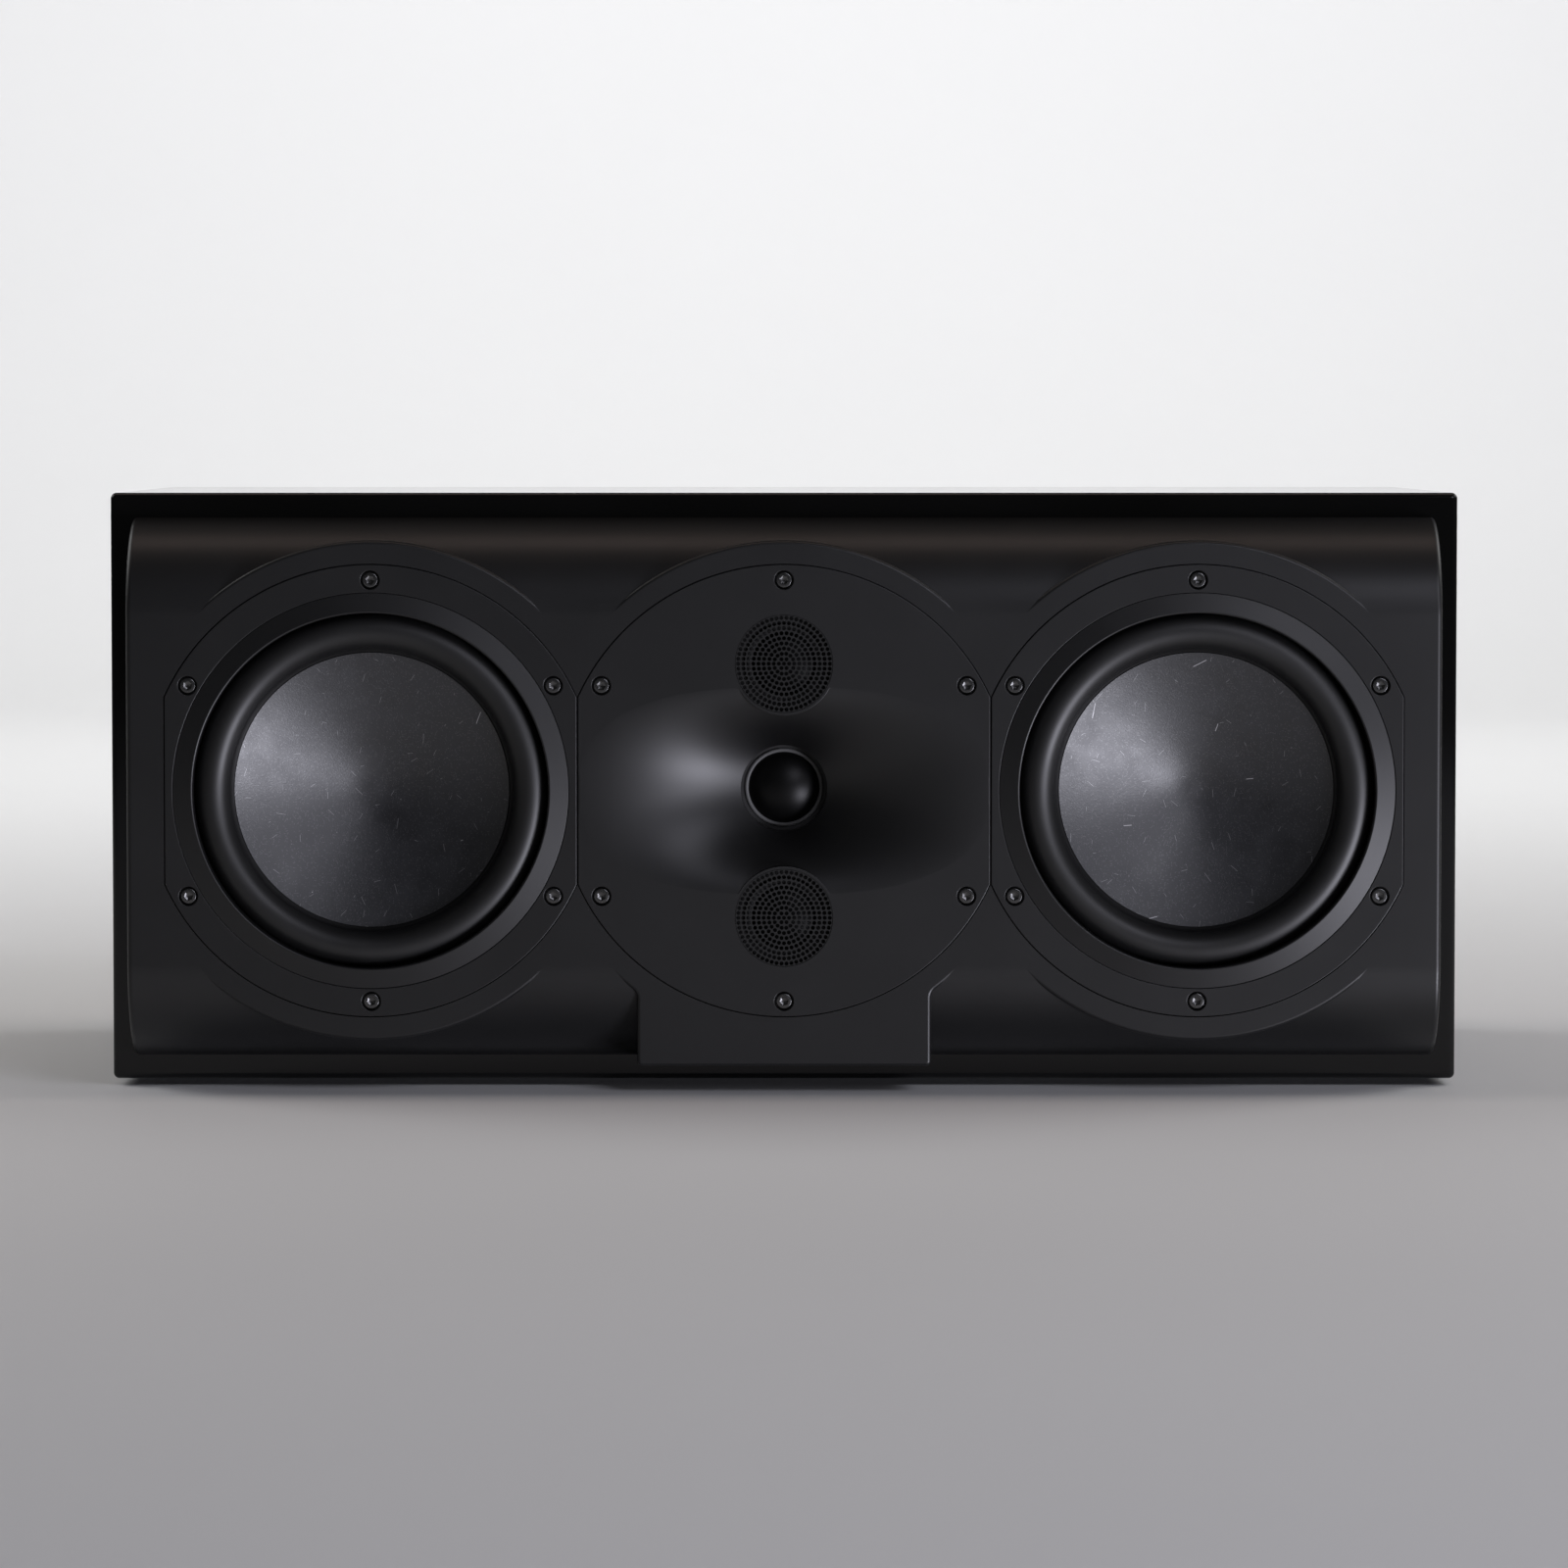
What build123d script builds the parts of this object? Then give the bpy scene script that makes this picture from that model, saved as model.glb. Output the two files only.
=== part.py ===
from build123d import *
from math import asin, cos, radians, sin, sqrt, tan
import os

# Center channel loudspeaker: a closed box with a thick shaped front, two woofers either side of a
# waveguide plate that carries a dome tweeter between two small domes behind perforated grilles.
# Millimetres, +Z up, front towards -Y, origin at the middle of the base.

# Cabinet box
cabinet_width = 550
cabinet_height = 240
cabinet_depth = 266
panel_thickness = 18
cabinet_edge_radius = 2.4
cutout_step = 2.5
brace_thickness = 12
brace_spacing = 168
brace_window_height = 64
brace_window_width = 150
brace_window_radius = 14
pad_thickness = 28
pad_side_gap = 15
pad_brace_gap = 12
pad_top_gap = 17

# Feet
foot_radius = 15
foot_height = 3
foot_inset = 55

# Shaped front
baffle_width = 531.4
baffle_thickness = 34
baffle_flat_height = 141
roundover_radius = 40
baffle_end_radius = 2
baffle_end_margin = 7.2
boss_margin = 9.5
boss_edge_radius = 1.5
tab_width = 119
tab_blend_radius = 4.5
tab_corner_radius = 2
hole_clearance = 1

# Flanges, the same outline on all three drivers
flange_flat_cut = 8.2
flange_land = 11.5
flange_thickness = 5
flange_gap = 0.25
flat_gap = 0.4

# Cap screws with a hexagon socket
screw_count = 6
screw_edge_distance = 6.3
screw_head_radius = 3.4
screw_head_height = 3.4
screw_head_sink = 0.3
screw_shank_radius = 1.95
screw_shank_length = 18
screw_socket_radius = 1.75
screw_socket_depth = 2
counterbore_radius = 3.85
screw_clearance = 0.15

# Woofer trim ring and surround
lip_height = 2
lip_width = 8.2
trim_shoulder = 1.6
trim_step = 3
trim_depth = 9.2
trim_fit = 0.1
roll_radius = 7.6
roll_gap = 0.2
roll_crest_depth = 2.4
surround_thickness = 1
surround_lip_fit = 0.4
surround_glue_width = 6

# Woofer cone and voice coil
cone_rim_gap = 1.4
cone_rim_depth = 9
cone_slope = 24
cone_centre_radius = 12
cone_thickness = 0.8
former_radius = 19.3
former_thickness = 0.25
neck_wall = 1
neck_length = 6
winding_thickness = 0.8
winding_length = 12
coil_gap = 0.5

# Woofer basket, spider and motor
tub_wall = 2.4
landing_width = 5.1
landing_thickness = 3
basket_waist_radius = 54
basket_waist_depth = 44
basket_base_depth = 53
basket_base_thickness = 4
basket_base_hole = 23
spider_depth = 38
spider_landing_radius = 50
spider_landing_width = 6
spider_thickness = 0.5
spider_wave_height = 2.4
spider_waves = 3
window_count = 6
window_angle = 40
window_top_depth = 16.5
window_height = 18
motor_radius = 50
top_plate_thickness = 6
magnet_hole_radius = 28
magnet_thickness = 18
back_plate_radius = 48
back_plate_thickness = 6

# Waveguide plate
throat_radius = 17.6
horn_depth = 20
horn_side_margin = 4.3
horn_half_height = 38
horn_curve = 2.4
horn_overshoot = 0.5
horn_sections = 7
horn_wall = 3.5
throat_length = 9
throat_boss_radius = 25

# Small domes behind the grilles
mid_hole_gap = 6.6
mid_throat_gap = 3.1
grille_step = 0.2
grille_thickness = 0.8
grille_sink = 0.3
grille_fit = 0.2
grille_rim = 1.2
grille_rings = 5
grille_border = 3.6
grille_hole_radius = 0.85
grille_ledge = 1.3
mid_seat_depth = 9
mid_tube_wall = 2.5
mid_tube_depth = 14

# Dome units: dome radius, dome height, roll width, plate radius and the thicknesses behind it
film_thickness = 0.4
dome_base_width = 0.8
dome_coil_wall = 0.6
dome_coil_length = 5
dome_coil_gap = 0.4
pole_setback = 1.2
dome_magnet_gap = 3
tweeter_dome_radius = 14.2
tweeter_dome_height = 4.6
tweeter_roll_width = 2.6
tweeter_lip_radius = 21
tweeter_plate_radius = 25
tweeter_plate_thickness = 4
tweeter_magnet_thickness = 8
mid_lip_width = 3.6
mid_dome_height = 4.2
mid_roll_width = 3.2
mid_plate_thickness = 3
mid_magnet_thickness = 6
mid_fit = 0.2

# Terminal panel and binding posts
terminal_width = 120
terminal_height = 80
terminal_thickness = 4
terminal_corner_radius = 8
terminal_cutout_margin = 20
terminal_screw_inset = 9
terminal_screw_radius = 1.5
terminal_screw_length = 14
terminal_head_radius = 3
terminal_head_height = 2.2
post_spacing = 44
stud_radius = 4
stud_length = 16
stud_tail_radius = 2.5
stud_tail_length = 16
plug_bore_radius = 2
collar_radius = 7
collar_height = 4.5
washer_radius = 6.6
washer_thickness = 1.2
cap_radius = 7.2
cap_end_wall = 1.6
cap_plug_clearance = 0.5
cap_flutes = 10
cap_flute_radius = 1.1
thread_clearance = 0.3

# Crossover
board_width = 132
board_depth = 92
board_thickness = 1.6
board_rear_gap = 32
standoff_radius = 3.5
standoff_height = 8
standoff_inset = 7
coil_radius = 22
coil_core_radius = 10
coil_height = 20
coil_spacing = 82
capacitor_radius = 8
capacitor_length = 36
capacitor_pitch = 42
capacitor_count = 3

# Places worked out from the sizes
cap_length = stud_length - washer_thickness + cap_end_wall + thread_clearance
post_reach = terminal_thickness + collar_height + washer_thickness + cap_length
overall_depth = lip_height + baffle_thickness + cabinet_depth + post_reach
front_y = lip_height - overall_depth / 2
cabinet_front_y = front_y + baffle_thickness
rear_y = cabinet_front_y + cabinet_depth
cabinet_middle_y = (cabinet_front_y + rear_y) / 2
axis_height = foot_height + cabinet_height / 2
floor_height = foot_height + panel_thickness
screw_floor_depth = screw_head_sink + screw_head_height

# Three flanges stand flat to flat across the front, and each driver is built inwards from its flange
flange_radius = (baffle_width / 2 - baffle_end_margin + 2 * flange_flat_cut - flat_gap) / 3
flange_flat = flange_radius - flange_flat_cut
driver_pitch = 2 * flange_flat + flat_gap
driver_places = (-driver_pitch, 0, driver_pitch)
screw_circle_radius = flange_radius - screw_edge_distance
trim_radius = flange_radius - flange_land
lip_radius = trim_radius - lip_width
trim_body_radius = trim_radius - trim_step
tub_radius = trim_body_radius + trim_fit + tub_wall
landing_radius = trim_body_radius + trim_fit - landing_width
surround_lip_radius = trim_body_radius - surround_lip_fit
roll_middle_radius = lip_radius - roll_radius - roll_gap
cone_radius = roll_middle_radius - roll_radius - cone_rim_gap
horn_half_width = flange_flat - horn_side_margin
boss_radius = flange_radius + boss_margin
baffle_hole_radius = tub_radius + hole_clearance
driver_cutout_radius = baffle_hole_radius - cutout_step

# The small domes fill the room between the horn's throat and the hole in the front
mid_room = baffle_hole_radius - mid_hole_gap - mid_throat_gap - throat_boss_radius - horn_wall
mid_lip_radius = (mid_room - mid_tube_wall - mid_fit) / 2
mid_tube_radius = mid_lip_radius + mid_fit + mid_tube_wall
mid_offset = baffle_hole_radius - mid_hole_gap - mid_tube_radius
mid_dome_radius = mid_lip_radius - mid_lip_width - mid_roll_width
grille_radius = mid_lip_radius - grille_step
grille_ring_pitch = (grille_radius - grille_border) / grille_rings
mid_bore_radius = grille_radius - grille_ledge

# Depths behind the front, and the pads' room inside the cabinet
baffle_half_height = baffle_flat_height / 2 + sqrt(
    roundover_radius**2 - max(roundover_radius - baffle_thickness, 0) ** 2
)
surround_seat_depth = trim_depth + surround_thickness
motor_depth = basket_base_depth + basket_base_thickness
magnet_depth = motor_depth + top_plate_thickness
back_plate_depth = magnet_depth + magnet_thickness
pole_radius = former_radius - former_thickness - coil_gap
tweeter_seat_depth = horn_depth + throat_length
pad_start = brace_spacing / 2 + brace_thickness / 2 + pad_brace_gap
pad_width = cabinet_width / 2 - panel_thickness - pad_side_gap - pad_start
pad_height = cabinet_height - 2 * panel_thickness - 2 * pad_top_gap

os.makedirs("parts", exist_ok=True)


def keep(piece, name):
    """Label a finished piece and write it as its own file."""
    piece.part.label = name
    export_step(piece.part, f"parts/{name}.step")


def front_plane(x=0, rise=0):
    """The plane of the front, centred on a driver: x to the right, y up, z out of the front."""
    return Plane(origin=(x, front_y, axis_height + rise), x_dir=(1, 0, 0), z_dir=(0, -1, 0))


def rear_plane(x=0):
    """The plane of the cabinet's back at mid height, z out of the back."""
    return Plane(origin=(x, rear_y, axis_height), x_dir=(-1, 0, 0), z_dir=(0, 1, 0))


def section_plane(face):
    """The half section of a round piece: x is its radius, y its height in front of the face."""
    return Plane(origin=face.origin, x_dir=face.x_dir, z_dir=face.x_dir.cross(face.z_dir))


def axis_of(face):
    return Axis(face.origin, face.z_dir)


def turned(face, *corners):
    """A round piece from the corners of its half section, each a radius and a height."""
    with BuildPart() as piece:
        with BuildSketch(section_plane(face)):
            with BuildLine():
                Polyline(*corners, close=True)
            make_face()
        revolve(axis=axis_of(face))
    return piece


def flange_outline():
    """A circle with a flat at each side."""
    Circle(flange_radius)
    Rectangle(2 * flange_flat, 2 * flange_radius, mode=Mode.INTERSECT)


def screw_places():
    return PolarLocations(screw_circle_radius, screw_count, start_angle=90)


def flange_screw_holes(face):
    """Counterbored holes for the flange's screws, cut into the piece being built."""
    with Locations(face):
        with screw_places():
            CounterBoreHole(
                radius=screw_shank_radius + screw_clearance,
                counter_bore_radius=counterbore_radius,
                counter_bore_depth=screw_floor_depth,
                depth=flange_thickness,
            )


def terminal_screw_places():
    return GridLocations(
        terminal_width - 2 * terminal_screw_inset,
        terminal_height - 2 * terminal_screw_inset,
        2,
        2,
    )


# Cabinet: a closed box with three round holes in front and one for the terminals behind
with BuildPart() as cabinet:
    with BuildSketch(Plane.XY.offset(foot_height)):
        with Locations((0, cabinet_middle_y)):
            Rectangle(cabinet_width, cabinet_depth)
    extrude(amount=cabinet_height)
    fillet(cabinet.edges(), cabinet_edge_radius)
    with BuildSketch(Plane.XY.offset(floor_height)):
        with Locations((0, cabinet_middle_y)):
            Rectangle(cabinet_width - 2 * panel_thickness, cabinet_depth - 2 * panel_thickness)
    extrude(amount=cabinet_height - 2 * panel_thickness, mode=Mode.SUBTRACT)
    with BuildSketch(front_plane().offset(-baffle_thickness)):
        with Locations(*[(x, 0) for x in driver_places]):
            Circle(driver_cutout_radius)
    extrude(amount=-panel_thickness, mode=Mode.SUBTRACT)
    with BuildSketch(rear_plane()):
        RectangleRounded(
            terminal_width - 2 * terminal_cutout_margin,
            terminal_height - 2 * terminal_cutout_margin,
            terminal_corner_radius,
        )
    extrude(amount=-panel_thickness, mode=Mode.SUBTRACT)
    with BuildSketch(rear_plane()):
        with terminal_screw_places():
            Circle(terminal_screw_radius + screw_clearance)
    extrude(amount=-panel_thickness, mode=Mode.SUBTRACT)
keep(cabinet, "cabinet_shell")

# Braces: upright panels between the drivers, with two windows each
for side, brace_x in (("left", -brace_spacing / 2), ("right", brace_spacing / 2)):
    with BuildPart() as brace:
        with BuildSketch(Plane.YZ.offset(brace_x)):
            with Locations((cabinet_middle_y, axis_height)):
                Rectangle(cabinet_depth - 2 * panel_thickness, cabinet_height - 2 * panel_thickness)
                with GridLocations(0, brace_window_height + 2 * brace_window_radius, 1, 2):
                    RectangleRounded(
                        brace_window_width,
                        brace_window_height,
                        brace_window_radius,
                        mode=Mode.SUBTRACT,
                    )
        extrude(amount=brace_thickness / 2, both=True)
    keep(brace, f"{side}_brace")

# Damping pads on the inside of the back
with BuildPart() as pads:
    with BuildSketch(rear_plane().offset(-panel_thickness)):
        with GridLocations(2 * pad_start + pad_width, 0, 2, 1):
            Rectangle(pad_width, pad_height)
    extrude(amount=-pad_thickness)
keep(pads, "damping_pads")

# Feet: four thin rubber discs
with BuildPart() as feet:
    with BuildSketch(Plane.XY):
        with Locations((0, cabinet_middle_y)):
            with GridLocations(cabinet_width - 2 * foot_inset, cabinet_depth - 2 * foot_inset, 2, 2):
                Circle(foot_radius)
    extrude(amount=foot_height)
keep(feet, "rubber_feet")


def round_boss(x):
    """A disc flush with the front that stands out of the roundovers."""
    with BuildPart() as boss:
        with BuildSketch(front_plane(x)):
            Circle(boss_radius)
            with Locations((-x, 0)):
                Rectangle(
                    baffle_width - 2 * baffle_end_radius, 2 * boss_radius, mode=Mode.INTERSECT
                )
        extrude(amount=-baffle_thickness)
        fillet(boss.faces().sort_by(Axis.Y)[0].edges(), boss_edge_radius)
    return boss.part


def tabbed_boss():
    """The middle disc, which runs down into a tab at the lower edge of the front."""
    with BuildPart() as boss:
        with BuildSketch(front_plane()) as outline:
            Circle(boss_radius)
            with Locations((0, -baffle_half_height / 2)):
                Rectangle(tab_width, baffle_half_height)
            by_height = outline.vertices().group_by(Axis.Y)
            fillet(by_height[1], tab_blend_radius)
            fillet(outline.vertices().group_by(Axis.Y)[0], tab_corner_radius)
        extrude(amount=-baffle_thickness)
        fillet(boss.faces().sort_by(Axis.Y)[0].edges(), boss_edge_radius)
    return boss.part


def baffle_slab():
    """The front's own section, drawn across its width, with rounded end edges."""
    slab_depth = baffle_thickness + roundover_radius
    with BuildPart() as slab:
        with BuildSketch(Plane.YZ) as section:
            with Locations((front_y + slab_depth / 2, axis_height)):
                Rectangle(slab_depth, baffle_flat_height + 2 * roundover_radius)
            fillet(section.vertices().group_by(Axis.X)[0], roundover_radius)
            with Locations((cabinet_front_y + roundover_radius / 2, axis_height)):
                Rectangle(
                    roundover_radius,
                    baffle_flat_height + 2 * roundover_radius,
                    mode=Mode.SUBTRACT,
                )
        extrude(amount=baffle_width / 2, both=True)
        ends = slab.faces().filter_by(Axis.X)
        rims = ends.edges().sort_by(Axis.Y)[: -len(ends)]
        fillet(rims, baffle_end_radius)
    return slab.part


# Shaped front: the slab and its three bosses, recessed and bored for the drivers
front_pieces = [baffle_slab(), round_boss(-driver_pitch), round_boss(driver_pitch), tabbed_boss()]
with BuildPart() as baffle:
    add(front_pieces)
    with BuildSketch(front_plane()):
        with Locations(*[(x, 0) for x in driver_places]):
            Circle(flange_radius + flange_gap)
        Rectangle(
            2 * (driver_pitch + flange_flat + flange_gap),
            2 * (flange_radius + flange_gap),
            mode=Mode.INTERSECT,
        )
    extrude(amount=-flange_thickness, mode=Mode.SUBTRACT)
    with BuildSketch(front_plane()):
        with Locations(*[(x, 0) for x in driver_places]):
            Circle(baffle_hole_radius)
    extrude(amount=-baffle_thickness, mode=Mode.SUBTRACT)
    with BuildSketch(front_plane().offset(-flange_thickness)):
        with Locations(*[(x, 0) for x in driver_places]):
            with screw_places():
                Circle(screw_shank_radius + screw_clearance)
    extrude(amount=-screw_shank_length, mode=Mode.SUBTRACT)
keep(baffle, "front_baffle")


def flange_screws(face, name):
    """The six socket screws of one flange."""
    with BuildPart() as screws:
        with BuildSketch(face.offset(-screw_head_sink)):
            with screw_places():
                Circle(screw_head_radius)
        extrude(amount=-screw_head_height)
        with BuildSketch(face.offset(-screw_floor_depth)):
            with screw_places():
                Circle(screw_shank_radius)
        extrude(amount=-screw_shank_length)
        with BuildSketch(face.offset(-screw_head_sink)):
            with screw_places():
                RegularPolygon(screw_socket_radius, 6)
        extrude(amount=-screw_socket_depth, mode=Mode.SUBTRACT)
    keep(screws, name)


def cone_back(radius):
    """Height of the cone's straight flank at a radius, on its back."""
    fall = (cone_radius - radius) * tan(radians(cone_slope))
    return -cone_rim_depth - fall - cone_thickness


def woofer_basket(face, name):
    """Cast frame: the flange, a tub with windows between its spokes, and the motor's seat."""
    landing_back = surround_seat_depth + landing_thickness
    with BuildPart() as basket:
        with BuildSketch(face):
            flange_outline()
        extrude(amount=-flange_thickness)
        with BuildSketch(section_plane(face)):
            with BuildLine():
                Polyline(
                    (tub_radius, -flange_thickness),
                    (tub_radius, -landing_back),
                    (basket_waist_radius, -basket_waist_depth),
                    (basket_waist_radius, -motor_depth),
                    (basket_base_hole, -motor_depth),
                    (basket_base_hole, -basket_base_depth),
                    (spider_landing_radius - spider_landing_width, -basket_base_depth),
                    (spider_landing_radius - spider_landing_width, -spider_depth),
                    (spider_landing_radius, -spider_depth),
                    (landing_radius, -landing_back),
                    (landing_radius, -surround_seat_depth),
                    (trim_body_radius + trim_fit, -surround_seat_depth),
                    (trim_body_radius + trim_fit, -flange_thickness),
                    close=True,
                )
            make_face()
        revolve(axis=axis_of(face))
        with BuildSketch(face):
            Circle(trim_body_radius + trim_fit)
        extrude(amount=-flange_thickness, mode=Mode.SUBTRACT)
        with BuildSketch(face):
            Circle(trim_radius + trim_fit)
        extrude(amount=-trim_shoulder, mode=Mode.SUBTRACT)
        near = spider_landing_radius - spider_landing_width
        half_angle = tan(radians(window_angle / 2))
        with BuildSketch(face.offset(-window_top_depth)):
            with PolarLocations(0, window_count):
                Polygon(
                    (near, -near * half_angle),
                    (tub_radius, -tub_radius * half_angle),
                    (tub_radius, tub_radius * half_angle),
                    (near, near * half_angle),
                    align=None,
                )
        extrude(amount=-window_height, mode=Mode.SUBTRACT)
        flange_screw_holes(face)
    keep(basket, name)


def woofer_surround(face, name):
    """Rubber half roll, clamped under the trim ring and glued behind the cone's rim."""
    middle = -roll_crest_depth - roll_radius
    inner_roll = roll_radius - surround_thickness
    outer_reach = sqrt(roll_radius**2 - (trim_depth + middle) ** 2)
    inner_reach = sqrt(inner_roll**2 - (surround_seat_depth + middle) ** 2)
    glue_start = roll_middle_radius - outer_reach
    glue_end = cone_radius - surround_glue_width
    with BuildPart() as surround:
        with BuildSketch(section_plane(face)):
            with BuildLine():
                Polyline(
                    (roll_middle_radius + inner_reach, -surround_seat_depth),
                    (surround_lip_radius, -surround_seat_depth),
                    (surround_lip_radius, -trim_depth),
                    (roll_middle_radius + outer_reach, -trim_depth),
                )
                ThreePointArc(
                    (roll_middle_radius + outer_reach, -trim_depth),
                    (roll_middle_radius, -roll_crest_depth),
                    (glue_start, -trim_depth),
                )
                Polyline(
                    (glue_start, -trim_depth),
                    (glue_start, cone_back(glue_start)),
                    (glue_end, cone_back(glue_end)),
                    (glue_end, cone_back(glue_end) - surround_thickness),
                    (roll_middle_radius - inner_reach, -surround_seat_depth),
                )
                ThreePointArc(
                    (roll_middle_radius - inner_reach, -surround_seat_depth),
                    (roll_middle_radius, -roll_crest_depth - surround_thickness),
                    (roll_middle_radius + inner_reach, -surround_seat_depth),
                )
            make_face()
        revolve(axis=axis_of(face))
    keep(surround, name)


def woofer_cone(face, name):
    """One-piece cone with a softly rounded middle and a neck for the voice coil."""
    slope = radians(cone_slope)
    flank_end = cone_back(cone_centre_radius) + cone_thickness
    bowl_radius = cone_centre_radius / sin(slope)
    bottom = flank_end - bowl_radius * (1 - cos(slope))
    part_way = bottom + bowl_radius * (1 - cos(slope / 2))
    part_radius = bowl_radius * sin(slope / 2)
    neck_radius = former_radius + neck_wall
    with BuildPart() as cone:
        with BuildSketch(section_plane(face)):
            with BuildLine():
                Line((cone_radius, -cone_rim_depth), (cone_centre_radius, flank_end))
                ThreePointArc((cone_centre_radius, flank_end), (part_radius, part_way), (0, bottom))
                Line((0, bottom), (0, bottom - cone_thickness))
                ThreePointArc(
                    (0, bottom - cone_thickness),
                    (part_radius, part_way - cone_thickness),
                    (cone_centre_radius, flank_end - cone_thickness),
                )
                Polyline(
                    (cone_centre_radius, flank_end - cone_thickness),
                    (former_radius, cone_back(former_radius)),
                    (former_radius, cone_back(former_radius) - neck_length),
                    (neck_radius, cone_back(former_radius) - neck_length),
                    (neck_radius, cone_back(neck_radius)),
                    (cone_radius, cone_back(cone_radius)),
                    (cone_radius, -cone_rim_depth),
                )
            make_face()
        revolve(axis=axis_of(face))
    keep(cone, name)


def woofer_spider(face, name):
    """Corrugated disc that centres the voice coil."""
    flat_start = spider_landing_radius - spider_landing_width
    steps = 2 * spider_waves
    width = (flat_start - former_radius) / (steps + 1)
    top = spider_thickness - spider_depth
    ridge = [
        (former_radius + (i + 0.5) * width, top + (spider_wave_height if i % 2 else 0))
        for i in range(steps + 1)
    ]
    upper = [(former_radius, top), *ridge, (spider_landing_radius, top)]
    lower = [(r, z - spider_thickness) for r, z in reversed(upper)]
    spider = turned(face, *upper, *lower)
    keep(spider, name)


def woofer(side, x):
    """All the pieces of one woofer on its own axis."""
    face = front_plane(x)
    name = f"{side}_woofer"
    coil_middle = motor_depth + top_plate_thickness / 2
    winding_top = winding_length / 2 - coil_middle
    winding_radius = former_radius + winding_thickness
    former_bore = former_radius - former_thickness
    back = -back_plate_depth - back_plate_thickness
    woofer_basket(face, f"{name}_basket")
    trim_ring = turned(
        face,
        (lip_radius, lip_height),
        (trim_radius, 0),
        (trim_radius, -trim_shoulder),
        (trim_body_radius, -trim_shoulder),
        (trim_body_radius, -trim_depth),
        (lip_radius, -trim_depth),
    )
    keep(trim_ring, f"{name}_trim_ring")
    woofer_surround(face, f"{name}_surround")
    woofer_cone(face, f"{name}_cone")
    voice_coil = turned(
        face,
        (former_bore, cone_back(former_bore)),
        (former_radius, cone_back(former_radius)),
        (former_radius, winding_top),
        (winding_radius, winding_top),
        (winding_radius, winding_top - winding_length),
        (former_bore, winding_top - winding_length),
    )
    keep(voice_coil, f"{name}_voice_coil")
    woofer_spider(face, f"{name}_spider")
    top_plate = turned(
        face,
        (winding_radius + coil_gap, -motor_depth),
        (motor_radius, -motor_depth),
        (motor_radius, -magnet_depth),
        (winding_radius + coil_gap, -magnet_depth),
    )
    keep(top_plate, f"{name}_top_plate")
    magnet = turned(
        face,
        (magnet_hole_radius, -magnet_depth),
        (motor_radius, -magnet_depth),
        (motor_radius, -back_plate_depth),
        (magnet_hole_radius, -back_plate_depth),
    )
    keep(magnet, f"{name}_magnet")
    yoke = turned(
        face,
        (0, -motor_depth),
        (pole_radius, -motor_depth),
        (pole_radius, -back_plate_depth),
        (back_plate_radius, -back_plate_depth),
        (back_plate_radius, back),
        (0, back),
    )
    keep(yoke, f"{name}_yoke")
    flange_screws(face, f"{name}_screws")


woofer("left", -driver_pitch)
woofer("right", driver_pitch)


def horn_space():
    """The hollow of the waveguide: round at the throat, wide and low at the mouth."""
    rise = horn_depth + horn_overshoot
    mouth_share = 1 - (horn_overshoot / rise) ** (1 / horn_curve)
    with BuildPart() as hollow:
        for i in range(horn_sections):
            share = i / (horn_sections - 1)
            depth = rise * (1 - share) ** horn_curve - horn_overshoot
            spread = share / mouth_share
            with BuildSketch(front_plane().offset(-depth)):
                Ellipse(
                    throat_radius + (horn_half_width - throat_radius) * spread,
                    throat_radius + (horn_half_height - throat_radius) * spread,
                )
        loft()
    return hollow.part


def mid_places():
    return Locations((0, mid_offset), (0, -mid_offset))


# Waveguide plate: flange, horn, throat and the seats of the two small domes, in one casting
horn_hollow = horn_space()
horn_back_depth = horn_depth + horn_wall
with BuildPart() as waveguide:
    with BuildSketch(front_plane()):
        flange_outline()
    extrude(amount=-flange_thickness)
    with BuildSketch(front_plane().offset(-flange_thickness)):
        Ellipse((horn_half_width + throat_boss_radius) / 2 + 2 * horn_wall, throat_boss_radius + 2 * horn_wall)
    with BuildSketch(front_plane().offset(-horn_back_depth)):
        Circle(throat_boss_radius + horn_wall)
    loft()
    with BuildSketch(front_plane().offset(-horn_depth)):
        Circle(throat_boss_radius)
    extrude(amount=-throat_length)
    with BuildSketch(front_plane().offset(-flange_thickness)):
        with mid_places():
            Circle(mid_tube_radius)
    extrude(amount=flange_thickness - mid_tube_depth)
    add(horn_hollow, mode=Mode.SUBTRACT)
    with BuildSketch(front_plane().offset(-horn_depth)):
        Circle(throat_radius)
    extrude(amount=-throat_length, mode=Mode.SUBTRACT)
    with BuildSketch(front_plane()):
        with mid_places():
            Circle(grille_radius + grille_fit + grille_rim)
    extrude(amount=-mid_seat_depth)
    with BuildSketch(front_plane()):
        with mid_places():
            Circle(grille_radius + grille_fit)
    extrude(amount=-grille_sink - grille_thickness, mode=Mode.SUBTRACT)
    with BuildSketch(front_plane()):
        with mid_places():
            Circle(mid_bore_radius)
    extrude(amount=-mid_tube_depth, mode=Mode.SUBTRACT)
    with BuildSketch(front_plane().offset(-mid_seat_depth)):
        with mid_places():
            Circle(mid_lip_radius + mid_fit)
    extrude(amount=mid_seat_depth - mid_tube_depth, mode=Mode.SUBTRACT)
    flange_screw_holes(front_plane())
keep(waveguide, "waveguide_plate")
flange_screws(front_plane(), "waveguide_screws")


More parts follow.
